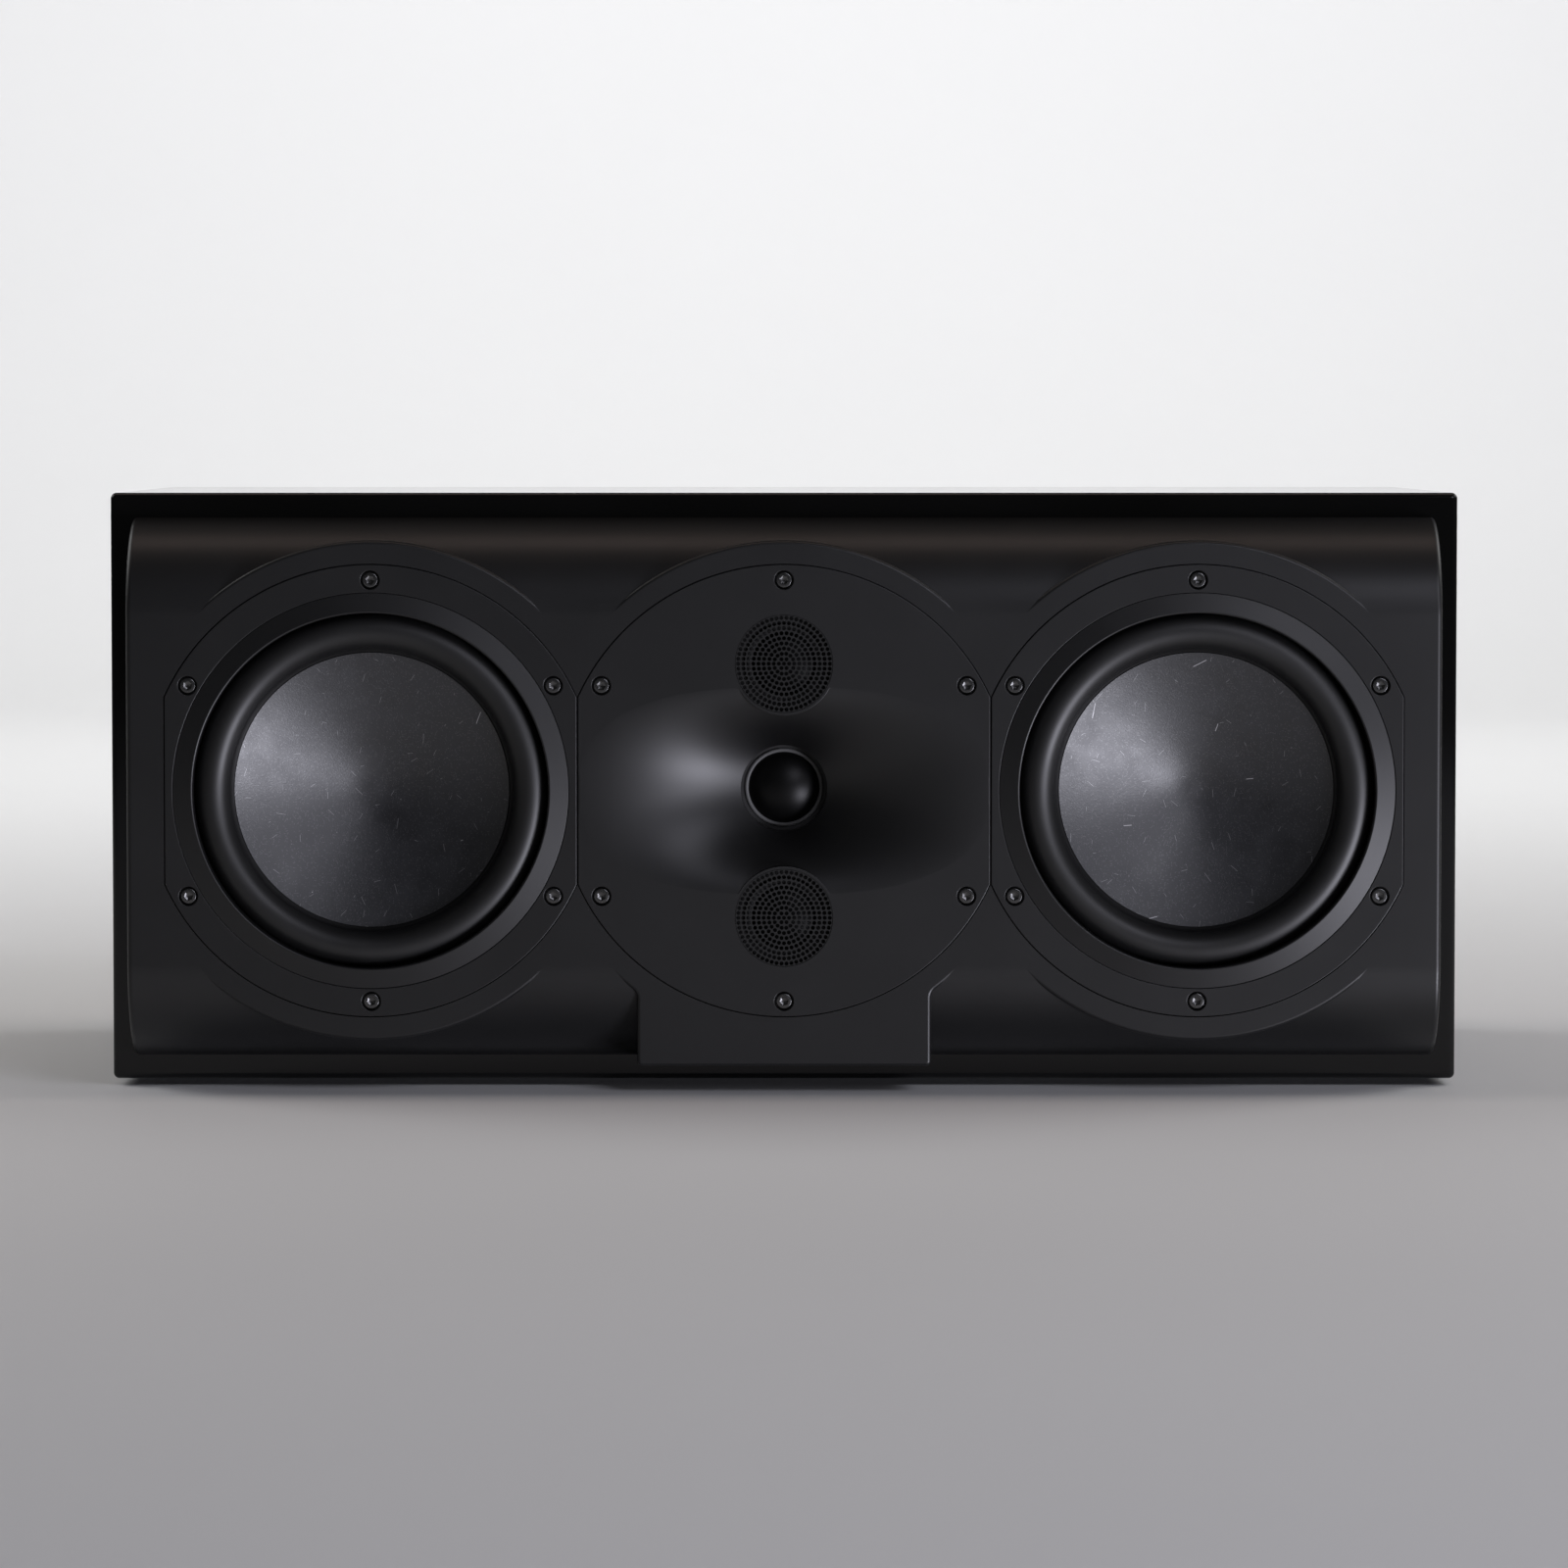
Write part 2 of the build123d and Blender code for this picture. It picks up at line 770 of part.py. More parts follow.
def grille(face, name):
    """Thin disc, perforated in rings about its middle."""
    with BuildPart() as disc:
        with BuildSketch(face.offset(-grille_sink)):
            Circle(grille_radius)
            RegularPolygon(grille_hole_radius, 6, mode=Mode.SUBTRACT)
            for ring in range(1, grille_rings + 1):
                with PolarLocations(ring * grille_ring_pitch, 6 * ring):
                    RegularPolygon(grille_hole_radius, 6, mode=Mode.SUBTRACT)
        extrude(amount=-grille_thickness)
    keep(disc, name)


def dome_unit(face, name, radius, height, roll, lip, plate, plate_thickness, magnet_height):
    """A dome, its rolled surround and voice coil, and the ring magnet motor behind them.

    The face is where the surround's lip seats, with the motor behind it.
    """
    edge = radius + roll
    half_roll = roll / 2
    film = film_thickness

    def cap_arc(base, floor, rise):
        """From the dome's edge over to its top, on a sphere."""
        ball = (base**2 + rise**2) / (2 * rise)
        half = asin(base / ball) / 2
        part_way = (ball * sin(half), floor + rise - ball * (1 - cos(half)))
        return (base, floor), part_way, (0, floor + rise)

    with BuildPart() as dome:
        with BuildSketch(section_plane(face)):
            with BuildLine():
                ThreePointArc(*cap_arc(radius, 0, height))
                Line((0, height), (0, height - film))
                ThreePointArc(*cap_arc(radius - dome_base_width, -film, height))
                Polyline((radius - dome_base_width, -film), (radius, -film), (radius, 0))
            make_face()
        revolve(axis=axis_of(face))
    keep(dome, f"{name}_dome")

    with BuildPart() as surround:
        with BuildSketch(section_plane(face)):
            with BuildLine():
                Line((radius, -film), (radius, 0))
                ThreePointArc((radius, 0), (radius + half_roll, half_roll), (edge, 0))
                Polyline((edge, 0), (lip, 0), (lip, -film), (edge - film, -film))
                ThreePointArc(
                    (edge - film, -film),
                    (radius + half_roll, half_roll - film),
                    (radius + film, -film),
                )
                Line((radius + film, -film), (radius, -film))
            make_face()
        revolve(axis=axis_of(face))
    keep(surround, f"{name}_surround")

    coil_bore = radius - dome_coil_wall
    plate_back = -film - plate_thickness
    magnet_back = plate_back - magnet_height
    gap_radius = radius + dome_coil_gap
    magnet_bore = radius + dome_magnet_gap
    pole = coil_bore - dome_coil_gap
    pole_top = -film - pole_setback
    back = magnet_back - plate_thickness
    coil = turned(
        face,
        (coil_bore, -film),
        (radius, -film),
        (radius, -film - dome_coil_length),
        (coil_bore, -film - dome_coil_length),
    )
    keep(coil, f"{name}_voice_coil")
    top_plate = turned(
        face, (gap_radius, -film), (plate, -film), (plate, plate_back), (gap_radius, plate_back)
    )
    keep(top_plate, f"{name}_top_plate")
    magnet = turned(
        face,
        (magnet_bore, plate_back),
        (plate, plate_back),
        (plate, magnet_back),
        (magnet_bore, magnet_back),
    )
    keep(magnet, f"{name}_magnet")
    yoke = turned(
        face,
        (0, pole_top),
        (pole, pole_top),
        (pole, magnet_back),
        (plate, magnet_back),
        (plate, back),
        (0, back),
    )
    keep(yoke, f"{name}_yoke")


dome_unit(
    front_plane().offset(-tweeter_seat_depth),
    "tweeter",
    tweeter_dome_radius,
    tweeter_dome_height,
    tweeter_roll_width,
    tweeter_lip_radius,
    tweeter_plate_radius,
    tweeter_plate_thickness,
    tweeter_magnet_thickness,
)
for place, rise in (("upper", mid_offset), ("lower", -mid_offset)):
    grille(front_plane(rise=rise), f"{place}_grille")
    dome_unit(
        front_plane(rise=rise).offset(-mid_seat_depth),
        f"{place}_mid",
        mid_dome_radius,
        mid_dome_height,
        mid_roll_width,
        mid_lip_radius,
        mid_lip_radius,
        mid_plate_thickness,
        mid_magnet_thickness,
    )


# Terminal panel on the back, with a pair of binding posts
with BuildPart() as panel:
    with BuildSketch(rear_plane()):
        RectangleRounded(terminal_width, terminal_height, terminal_corner_radius)
        with terminal_screw_places():
            Circle(terminal_screw_radius + screw_clearance, mode=Mode.SUBTRACT)
        with GridLocations(post_spacing, 0, 2, 1):
            Circle(stud_radius + screw_clearance, mode=Mode.SUBTRACT)
    extrude(amount=terminal_thickness)
keep(panel, "terminal_panel")

with BuildPart() as panel_screws:
    with BuildSketch(rear_plane().offset(terminal_thickness)):
        with terminal_screw_places():
            Circle(terminal_head_radius)
    extrude(amount=terminal_head_height)
    with BuildSketch(rear_plane().offset(terminal_thickness)):
        with terminal_screw_places():
            Circle(terminal_screw_radius)
    extrude(amount=-terminal_screw_length)
keep(panel_screws, "terminal_screws")

collar_top = terminal_thickness + collar_height
washer_top = collar_top + washer_thickness
stud_top = collar_top + stud_length
with BuildPart() as studs:
    for post_x in (-post_spacing / 2, post_spacing / 2):
        add(
            turned(
                rear_plane(post_x),
                (0, -stud_tail_length),
                (stud_tail_radius, -stud_tail_length),
                (stud_tail_radius, 0),
                (stud_radius, 0),
                (stud_radius, terminal_thickness),
                (collar_radius, terminal_thickness),
                (collar_radius, collar_top),
                (stud_radius, collar_top),
                (stud_radius, stud_top),
                (plug_bore_radius, stud_top),
                (plug_bore_radius, collar_top),
                (0, collar_top),
            ).part
        )
keep(studs, "terminal_studs")

thread_radius = stud_radius + thread_clearance
cap_top = washer_top + cap_length
for colour, post_x in (("red", post_spacing / 2), ("black", -post_spacing / 2)):
    post_face = rear_plane(post_x)
    washer = turned(
        post_face,
        (thread_radius, collar_top),
        (washer_radius, collar_top),
        (washer_radius, washer_top),
        (thread_radius, washer_top),
    )
    keep(washer, f"{colour}_washer")
    with BuildPart() as cap:
        with BuildSketch(post_face.offset(washer_top)):
            Circle(cap_radius)
            with PolarLocations(cap_radius + cap_flute_radius / 2, cap_flutes):
                Circle(cap_flute_radius, mode=Mode.SUBTRACT)
        extrude(amount=cap_length)
        with BuildSketch(post_face.offset(washer_top)):
            Circle(thread_radius)
        extrude(amount=cap_length - cap_end_wall, mode=Mode.SUBTRACT)
        with BuildSketch(post_face.offset(cap_top)):
            Circle(plug_bore_radius + cap_plug_clearance)
        extrude(amount=-cap_end_wall, mode=Mode.SUBTRACT)
    keep(cap, f"{colour}_cap")

# Crossover board on standoffs, on the floor of the cabinet behind the waveguide
board_y = rear_y - panel_thickness - board_rear_gap - board_depth / 2
board_top = floor_height + standoff_height + board_thickness
with BuildPart() as standoffs:
    with BuildSketch(Plane.XY.offset(floor_height)):
        with Locations((0, board_y)):
            with GridLocations(board_width - 2 * standoff_inset, board_depth - 2 * standoff_inset, 2, 2):
                Circle(standoff_radius)
    extrude(amount=standoff_height)
keep(standoffs, "crossover_standoffs")

with BuildPart() as board:
    with BuildSketch(Plane.XY.offset(floor_height + standoff_height)):
        with Locations((0, board_y)):
            Rectangle(board_width, board_depth)
    extrude(amount=board_thickness)
keep(board, "crossover_board")

with BuildPart() as coils:
    with BuildSketch(Plane.XY.offset(board_top)):
        with Locations((0, board_y + board_depth / 2 - coil_radius)):
            with GridLocations(coil_spacing, 0, 2, 1):
                Circle(coil_radius)
                Circle(coil_core_radius, mode=Mode.SUBTRACT)
    extrude(amount=coil_height)
keep(coils, "crossover_coils")

capacitor_y = board_y - board_depth / 2 + capacitor_length / 2
with BuildPart() as capacitors:
    with BuildSketch(Plane.XZ.offset(-capacitor_y)):
        with Locations((0, board_top + capacitor_radius)):
            with GridLocations(capacitor_pitch, 0, capacitor_count, 1):
                Circle(capacitor_radius)
    extrude(amount=capacitor_length / 2, both=True)
keep(capacitors, "crossover_capacitors")
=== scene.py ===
# %% [markdown]
# # A center channel speaker
# This lesson dresses a CAD model of a wide, low loudspeaker. The CAD solids are exact but plain, so each
# one that shows gets a smooth mesh of the same form with softened edges, and a finish made of nodes.
# The first cell loads the solids as a fixed frame: nothing in it is ever moved.

# %% Load the frame
from math import acos, asin, atan, cos, degrees, exp, hypot, pi, radians, sin, sqrt, tan

import bmesh
import bpy
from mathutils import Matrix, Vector


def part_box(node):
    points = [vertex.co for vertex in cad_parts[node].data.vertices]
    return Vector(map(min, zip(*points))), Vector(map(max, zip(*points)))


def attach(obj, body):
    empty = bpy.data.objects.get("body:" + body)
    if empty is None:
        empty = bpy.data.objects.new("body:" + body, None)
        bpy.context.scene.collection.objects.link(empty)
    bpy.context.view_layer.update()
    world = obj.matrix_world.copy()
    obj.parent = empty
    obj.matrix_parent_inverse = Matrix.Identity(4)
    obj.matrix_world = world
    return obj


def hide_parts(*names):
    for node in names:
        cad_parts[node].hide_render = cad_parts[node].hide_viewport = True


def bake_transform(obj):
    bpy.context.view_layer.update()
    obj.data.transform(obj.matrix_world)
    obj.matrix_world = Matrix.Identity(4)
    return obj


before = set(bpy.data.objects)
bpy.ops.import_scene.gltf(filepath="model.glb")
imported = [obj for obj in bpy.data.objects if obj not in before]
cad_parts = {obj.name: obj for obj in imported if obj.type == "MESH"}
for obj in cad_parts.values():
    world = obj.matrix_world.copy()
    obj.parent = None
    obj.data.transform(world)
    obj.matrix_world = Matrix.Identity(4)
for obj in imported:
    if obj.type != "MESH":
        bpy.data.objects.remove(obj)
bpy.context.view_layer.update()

# %% [markdown]
# ## Where things are
# A speaker's front is drawn face on: across, up, and how deep behind the front plane. All sizes here are
# millimetres in that drawing, and one function turns a drawn point into Blender's metres. The front plane,
# the back and the drivers' axes are read from the frame, so that every piece lands on its solid.

# %% Places read from the frame
MM = 0.001
ACROSS, UP = 0, 2


def middle(node, axis):
    """The middle of a solid's box along one axis."""
    low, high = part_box(node)
    return (low[axis] + high[axis]) / 2


front_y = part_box("front_baffle")[0].y
axis_z = middle("cabinet_shell", UP)
cabinet_low, cabinet_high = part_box("cabinet_shell")
cabinet_width = (cabinet_high.x - cabinet_low.x) / MM
cabinet_height = (cabinet_high.z - cabinet_low.z) / MM
cabinet_front = (cabinet_low.y - front_y) / MM
cabinet_back = (cabinet_high.y - front_y) / MM
driver_pitch = middle("right_woofer_cone", ACROSS) / MM
dome_rise = (middle("upper_grille", UP) - axis_z) / MM
DRIVERS = {"left_woofer": -driver_pitch, "waveguide": 0, "right_woofer": driver_pitch}
SIDES = {"left": -driver_pitch, "right": driver_pitch}
PLACES = {"upper": dome_rise, "lower": -dome_rise}


def placed(across, up, depth):
    """A drawn point of the front, in metres."""
    return (across * MM, front_y + depth * MM, axis_z + up * MM)


print(f"cabinet {cabinet_width:.0f} x {cabinet_height:.0f} mm, drivers {driver_pitch:.1f} mm apart")

# %% [markdown]
# ## Building by loops
# Nearly every piece of a speaker is turned or moulded: its form is a stack of outlines at growing depth.
# One function skins such a stack, and a turned piece is the case where each outline is a circle. Soft
# edges are drawn into the section as small arcs, because a crisp black edge would catch no light.

# %% Outlines
TURN_STEPS = 160
EDGE_STEPS = 6
CORNER_STEPS = 8


def arc(centre, radius, first, last, steps):
    """Points on an arc, from one angle to another in degrees."""
    turns = [radians(first + (last - first) * i / steps) for i in range(steps + 1)]
    return [(centre[0] + radius * cos(a), centre[1] + radius * sin(a)) for a in turns]


def ring(radius, steps=TURN_STEPS, across=0.0, up=0.0):
    """A circle of points about a place on the front."""
    turns = [2 * pi * i / steps for i in range(steps)]
    return [(across + radius * cos(a), up + radius * sin(a)) for a in turns]


def rounded_rectangle(width, height, corner, steps=CORNER_STEPS):
    """A rectangle about the middle, with round corners."""
    points = []
    for quarter, (sx, sz) in enumerate(((1, 1), (-1, 1), (-1, -1), (1, -1))):
        centre = (sx * (width / 2 - corner), sz * (height / 2 - corner))
        points += arc(centre, corner, 90 * quarter, 90 * quarter + 90, steps)
    return points


def soft_edge(edge, steps=EDGE_STEPS):
    """A rounded edge as (inset, drop) pairs, from a piece's face round to its side."""
    turns = [pi / 2 * k / steps for k in range(steps + 1)]
    return [(edge * (1 - sin(a)), edge * (1 - cos(a))) for a in turns]


def softened(corners, steps=5):
    """A closed section of (radius, depth, edge) corners, each edge rounded by an arc of that size."""
    points = []
    for i, (r, d, edge) in enumerate(corners):
        here = Vector((r, d))
        if not edge:
            points.append((r, d))
            continue
        before = (Vector(corners[i - 1][:2]) - here).normalized()
        after = (Vector(corners[(i + 1) % len(corners)][:2]) - here).normalized()
        half = before.angle(after) / 2
        start, end = here + before * edge / tan(half), here + after * edge / tan(half)
        centre = here + (before + after).normalized() * edge / sin(half)
        for k in range(steps + 1):
            arm = (start - centre).lerp(end - centre, k / steps).normalized() * edge
            points.append(tuple(centre + arm))
    return points


print("circles have", TURN_STEPS, "steps and soft edges", EDGE_STEPS)

# %% Skins
MERGE = 1e-7


def new_piece(name, data):
    """A new object in the scene, for a mesh, a lamp or a camera."""
    piece = bpy.data.objects.new(name, data)
    bpy.context.scene.collection.objects.link(piece)
    return piece


def clean(bm):
    """Make one of points that lie on each other, and drop what is left without length or area."""
    bmesh.ops.remove_doubles(bm, verts=bm.verts, dist=MERGE)
    bmesh.ops.dissolve_degenerate(bm, edges=bm.edges, dist=MERGE)
    bmesh.ops.delete(bm, geom=[e for e in bm.edges if e.is_wire], context="EDGES")


def skin(name, loops, closed=False, at=placed):
    """A solid through (outline, depth) loops, capped at its ends, or joined end to start."""
    mesh = bpy.data.meshes.new(name)
    bm = bmesh.new()
    rows = [[bm.verts.new(at(x, z, depth)) for x, z in outline] for outline, depth in loops]
    pairs = list(zip(rows, rows[1:])) + ([(rows[-1], rows[0])] if closed else [])
    for near, far in pairs:
        for i in range(len(near)):
            j = (i + 1) % len(near)
            bm.faces.new((near[i], near[j], far[j], far[i]))
    if not closed:
        bm.faces.new(rows[0])
        bm.faces.new(rows[-1])
    clean(bm)
    bmesh.ops.recalc_face_normals(bm, faces=bm.faces)
    bm.to_mesh(mesh)
    bm.free()
    return new_piece(name, mesh)


def turned(name, section, across=0.0, up=0.0, steps=TURN_STEPS):
    """A round piece from its closed half section of (radius, depth) points."""
    return skin(name, [(ring(r, steps, across, up), d) for r, d in section], closed=True)


def pushed(name, outline, near, far):
    """A straight-sided solid: one outline from a near depth to a far one."""
    return skin(name, [(outline, near), (outline, far)])


def drum(radius, near, far, across=0.0, up=0.0):
    """A plain round solid, to cut with or to join on."""
    return pushed("drum", ring(radius, TURN_STEPS, across, up), near, far)


print("points closer than", MERGE, "m become one")

# %% [markdown]
# ## Cutting, joining and shading
# Holes and bosses are cut and joined with the Boolean modifier's exact solver, which can leave slivers
# without area, so the mesh is cleaned after it. Then the faces are shaded smooth, edges sharper than a set
# angle stay crisp, and a Weighted Normal modifier keeps large flats flat beside small arcs. Each result is
# baked, so that no modifier is left on a finished piece.

# %% Cut, join and polish
SHARP = 38
FLAT_WEIGHT = 80


def bake(piece):
    """Turn a piece and its modifiers into a plain mesh."""
    depsgraph = bpy.context.evaluated_depsgraph_get()
    mesh = bpy.data.meshes.new_from_object(piece.evaluated_get(depsgraph), depsgraph=depsgraph)
    piece.modifiers.clear()
    old, piece.data = piece.data, mesh
    bpy.data.meshes.remove(old)
    return piece


def combine(piece, operation, *tools):
    """Cut the tools out of a piece, or join them to it, and throw the tools away."""
    for tool in tools:
        step = piece.modifiers.new(operation.lower(), "BOOLEAN")
        step.operation, step.solver, step.object = operation, "EXACT", tool
        bake(piece)
        bpy.data.meshes.remove(tool.data)
    bm = bmesh.new()
    bm.from_mesh(piece.data)
    clean(bm)
    bm.to_mesh(piece.data)
    bm.free()
    return piece


def gather(name, *pieces):
    """Put shells that only touch into one mesh."""
    bm = bmesh.new()
    for piece in pieces:
        bm.from_mesh(piece.data)
        bpy.data.meshes.remove(piece.data)
    mesh = bpy.data.meshes.new(name)
    bm.to_mesh(mesh)
    bm.free()
    return new_piece(name, mesh)


def polish(piece, sharp=SHARP):
    """Smooth shading with crisp edges, and flats that stay flat."""
    piece.data.polygons.foreach_set("use_smooth", [True] * len(piece.data.polygons))
    piece.data.set_sharp_from_angle(angle=radians(sharp))
    step = piece.modifiers.new("flats", "WEIGHTED_NORMAL")
    step.keep_sharp, step.weight = True, FLAT_WEIGHT
    return bake(piece)


print("edges sharper than", SHARP, "degrees stay crisp")

# %% [markdown]
# ## Handing a piece over
# A finished piece gets its finish and the body it rides on, and the solids that it stands for are hidden.
# One function does that for a rigid piece, so that none is left without its body or finish. Pieces that
# bend get a function of their own further on.

# %% Hand a piece over
made = []


def hand_over(piece, material, body, slot, *nodes):
    """Give a finished piece its finish and its body, and hide the solids that it stands for."""
    piece.data.materials.clear()
    piece.data.materials.append(material)
    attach(piece, body)
    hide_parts(*nodes)
    made.append(piece)
    print(f"{piece.name}: {len(piece.data.polygons)} faces for {', '.join(nodes)}")


print("pieces so far:", len(made))

# %% [markdown]
# ## Effects that several finishes share
# A satin lacquer or moulding isn't one even grey: it has a fine tooth that breaks up the light, and cloudy
# patches that are a little shinier where it was handled. One node group, built once, puts out both, and
# only as values that change over the surface. All patterns read Object coordinates, in metres.

# %% Helpers for nodes
def feed(tree, socket, value):
    """Link an input to another node's output, or set its number."""
    if isinstance(value, bpy.types.NodeSocket):
        tree.links.new(value, socket)
    else:
        socket.default_value = value


def feed_named(tree, step, **values):
    """Feed a node's inputs by name, with _ for a space."""
    for key, value in values.items():
        feed(tree, step.inputs[key.replace("_", " ")], value)


def node(tree, kind, **settings):
    """A new node. A setting named like an input goes there, and any other is an option of the node."""
    step = tree.nodes.new(kind)
    for key, value in settings.items():
        if key.replace("_", " ") in step.inputs:
            feed_named(tree, step, **{key: value})
        else:
            setattr(step, key, value)
    return step


def calculated(tree, kind, operation, first, second, **options):
    """The outputs of a Math or Vector Math node on two values."""
    step = node(tree, kind, operation=operation, **options)
    feed(tree, step.inputs[0], first)
    feed(tree, step.inputs[1], second)
    return step.outputs


def math_node(tree, operation, first, second=0.0, clamp=False):
    """The number that a Math node works out."""
    return calculated(tree, "ShaderNodeMath", operation, first, second, use_clamp=clamp)[0]


def vector_node(tree, operation, first, second):
    """The outputs of a Vector Math node, Vector or Value."""
    return calculated(tree, "ShaderNodeVectorMath", operation, first, second)


def object_place(tree):
    """The place on the piece in metres, for a pattern to read."""
    return node(tree, "ShaderNodeTexCoord").outputs["Object"]


print("helpers for nodes are ready")

# %% A node group for tooth and clouds
CLOUDS_PER_METRE = 28.0


def shader_group(name, inputs, outputs):
    """An empty node group with float inputs and outputs, and the sockets inside it."""
    group = bpy.data.node_groups.new(name, "ShaderNodeTree")
    for title, value in inputs.items():
        socket = group.interface.new_socket(title, in_out="INPUT", socket_type="NodeSocketFloat")
        socket.default_value = value
    for title in outputs:
        group.interface.new_socket(title, in_out="OUTPUT", socket_type="NodeSocketFloat")
    return group, node(group, "NodeGroupInput").outputs, node(group, "NodeGroupOutput")


def tooth_group():
    """Fine tooth as a height, and cloudy variation of shine."""
    group, inputs, out = shader_group(
        "fine_tooth",
        {"Grain per metre": 2400.0, "Shine": 0.4, "Shine change": 0.06, "Cloud per metre": CLOUDS_PER_METRE},
        ("Height", "Roughness", "Cloud"),
    )
    place, noise = object_place(group), "ShaderNodeTexNoise"
    grain = node(group, noise, Vector=place, Scale=inputs["Grain per metre"], Detail=3.0, Roughness=0.6)
    cloud = node(group, noise, Vector=place, Scale=inputs["Cloud per metre"], Detail=4.0, Roughness=0.55)
    spread = math_node(group, "SUBTRACT", cloud.outputs["Fac"], 0.5)
    change = math_node(group, "MULTIPLY", spread, inputs["Shine change"])
    shine = math_node(group, "ADD", change, inputs["Shine"], clamp=True)
    feed_named(group, out, Height=grain.outputs["Fac"], Roughness=shine, Cloud=cloud.outputs["Fac"])
    return group


fine_tooth = tooth_group()
print("group:", fine_tooth.name)

# %% [markdown]
# ## Finishes
# The front, the flanges and the mouldings share one satin black, a trace blue, with different tooth. The
# box behind is deep gloss black, where only a slow ripple shows in the mirror of its lacquer. Rubber, steel
# and plastics follow from the same recipe: a colour that the clouds vary, a shine, and the tooth's height.

# %% One recipe for most finishes
TOOTH_STRENGTH = 0.35


def blank(name):
    """A new material, its tree and its shader."""
    material = bpy.data.materials.new(name)
    material.use_nodes = True
    return material, material.node_tree, material.node_tree.nodes["Principled BSDF"]


def mixed(tree, first, second, mask):
    """The colour between two colours by a mask. Each is three numbers or a socket."""
    mix = node(tree, "ShaderNodeMix", data_type="RGBA", Factor=mask)
    sockets = [socket for socket in mix.inputs if socket.type == "RGBA"]
    for socket, colour in zip(sockets, (first, second)):
        feed(tree, socket, (*colour, 1) if isinstance(colour, tuple) else colour)
    return next(socket for socket in mix.outputs if socket.type == "RGBA")


def bumped(tree, height, strength, distance):
    """A normal that a height pushes about, by a distance in metres."""
    bump = node(tree, "ShaderNodeBump", Height=height, Strength=strength, Distance=distance)
    return bump.outputs["Normal"]


def tooth_node(tree, grain, shine, change, cloud):
    """The shared tooth with its own values in this material."""
    tooth = node(tree, "ShaderNodeGroup", node_tree=fine_tooth)
    feed_named(tree, tooth, Grain_per_metre=grain, Shine=shine, Shine_change=change, Cloud_per_metre=cloud)
    return tooth.outputs


def toothed(name, dark, light, shine, change, grain, height, cloud=CLOUDS_PER_METRE, **constants):
    """A finish with a fine tooth: two tones, its shine, the grain's pitch and its height in metres."""
    material, tree, shader = blank(name)
    tooth = tooth_node(tree, grain, shine, change, cloud)
    tone = mixed(tree, dark, light, tooth["Cloud"])
    normal = bumped(tree, tooth["Height"], TOOTH_STRENGTH, height)
    feed_named(tree, shader, Base_Color=tone, Roughness=tooth["Roughness"], Normal=normal, **constants)
    return material


def grey(value, blue=1.0):
    """An even grey, or one with more blue in it."""
    return (value, value, value * blue)


print("a finish starts from the group", fine_tooth.name)

# %% Finishes that show
SATIN_BLUE = 1.06


def satin(name, dark, light, shine, grain):
    """The satin black of the front, which is a trace blue."""
    tones = grey(dark, SATIN_BLUE), grey(light, SATIN_BLUE)
    return toothed(name, *tones, shine, 0.06, grain, 3e-5)


satin_lacquer = satin("black_satin_lacquer", 0.0022, 0.0036, 0.41, 2600)
satin_casting = satin("black_satin_casting", 0.0022, 0.0034, 0.41, 2200)
satin_moulding = satin("black_satin_moulding", 0.0020, 0.0032, 0.42, 3000)
gloss_lacquer = toothed(
    "black_gloss_lacquer", grey(0.0016), grey(0.0024), 0.06, 0.04, 70, 2e-5,
    cloud=9.0, Specular_IOR_Level=0.36,
)
rubber = toothed("surround_rubber", grey(0.0030), grey(0.0050), 0.46, 0.10, 1800, 3e-5, cloud=60.0)
foot_rubber = toothed("foot_rubber", grey(0.015), grey(0.025), 0.75, 0.10, 1500, 1e-4)
black_steel = toothed(
    "black_steel", grey(0.0015), grey(0.0030), 0.24, 0.08, 5000, 2e-5, cloud=900.0, IOR=2.0
)
grille_steel = toothed("black_grille_steel", grey(0.0022), grey(0.0036), 0.42, 0.08, 4000, 2e-5)
dome_film = toothed(
    "black_dome", grey(0.0016), grey(0.0030), 0.38, 0.06, 3200, 1.2e-5,
    cloud=120.0, Specular_IOR_Level=0.15,
)
panel_moulding = toothed("terminal_moulding", grey(0.014), grey(0.022), 0.58, 0.10, 1300, 1.4e-4)
plated_brass = toothed(
    "plated_brass", (0.68, 0.44, 0.16), (0.86, 0.62, 0.27), 0.20, 0.12, 3500, 1e-5,
    cloud=300.0, Metallic=1.0,
)
red_plastic = toothed(
    "red_cap_plastic", (0.36, 0.010, 0.010), (0.48, 0.020, 0.016), 0.24, 0.08, 1600, 2e-5
)
black_plastic = toothed("black_cap_plastic", grey(0.010), grey(0.016), 0.24, 0.08, 1600, 2e-5)
print("finishes:", len(bpy.data.materials))

# %% [markdown]
# ## Coated cloth
# The rolls round the domes are coated cloth. Near the tweeter's axis the cloth is painted paler: a painted
# highlight, so that the crest of its roll shows as an even bright ring. The distance from the dome's axis is
# measured with Vector Math nodes, and one Math node turns it into a mask, so that the painted highlight
# needs no mesh of its own.

# %% Coated cloth with a painted highlight
# How far from the tweeter's axis the cloth is painted paler, as a painted highlight on its roll, in mm.
PAINTED_HIGHLIGHT_REACH = 16.0


def cloth_with_painted_highlight():
    """Dark coated cloth, painted paler round the tweeter's axis as a painted highlight on its roll."""
    material, tree, shader = blank("dome_cloth")
    face_on = vector_node(tree, "MULTIPLY", object_place(tree), (1, 0, 1))["Vector"]
    reach = vector_node(tree, "DISTANCE", face_on, (0, 0, axis_z))["Value"]
    # The paler tone inside that reach is a painted highlight on the roll's crest.
    tone = mixed(tree, grey(0.003), grey(0.07), math_node(tree, "LESS_THAN", reach, PAINTED_HIGHLIGHT_REACH * MM))
    feed_named(tree, shader, Base_Color=tone, Roughness=0.6)
    return material


dome_cloth = cloth_with_painted_highlight()
# The printed reach is that of the painted highlight.
print(f"{dome_cloth.name}: bead out to {PAINTED_HIGHLIGHT_REACH} mm")

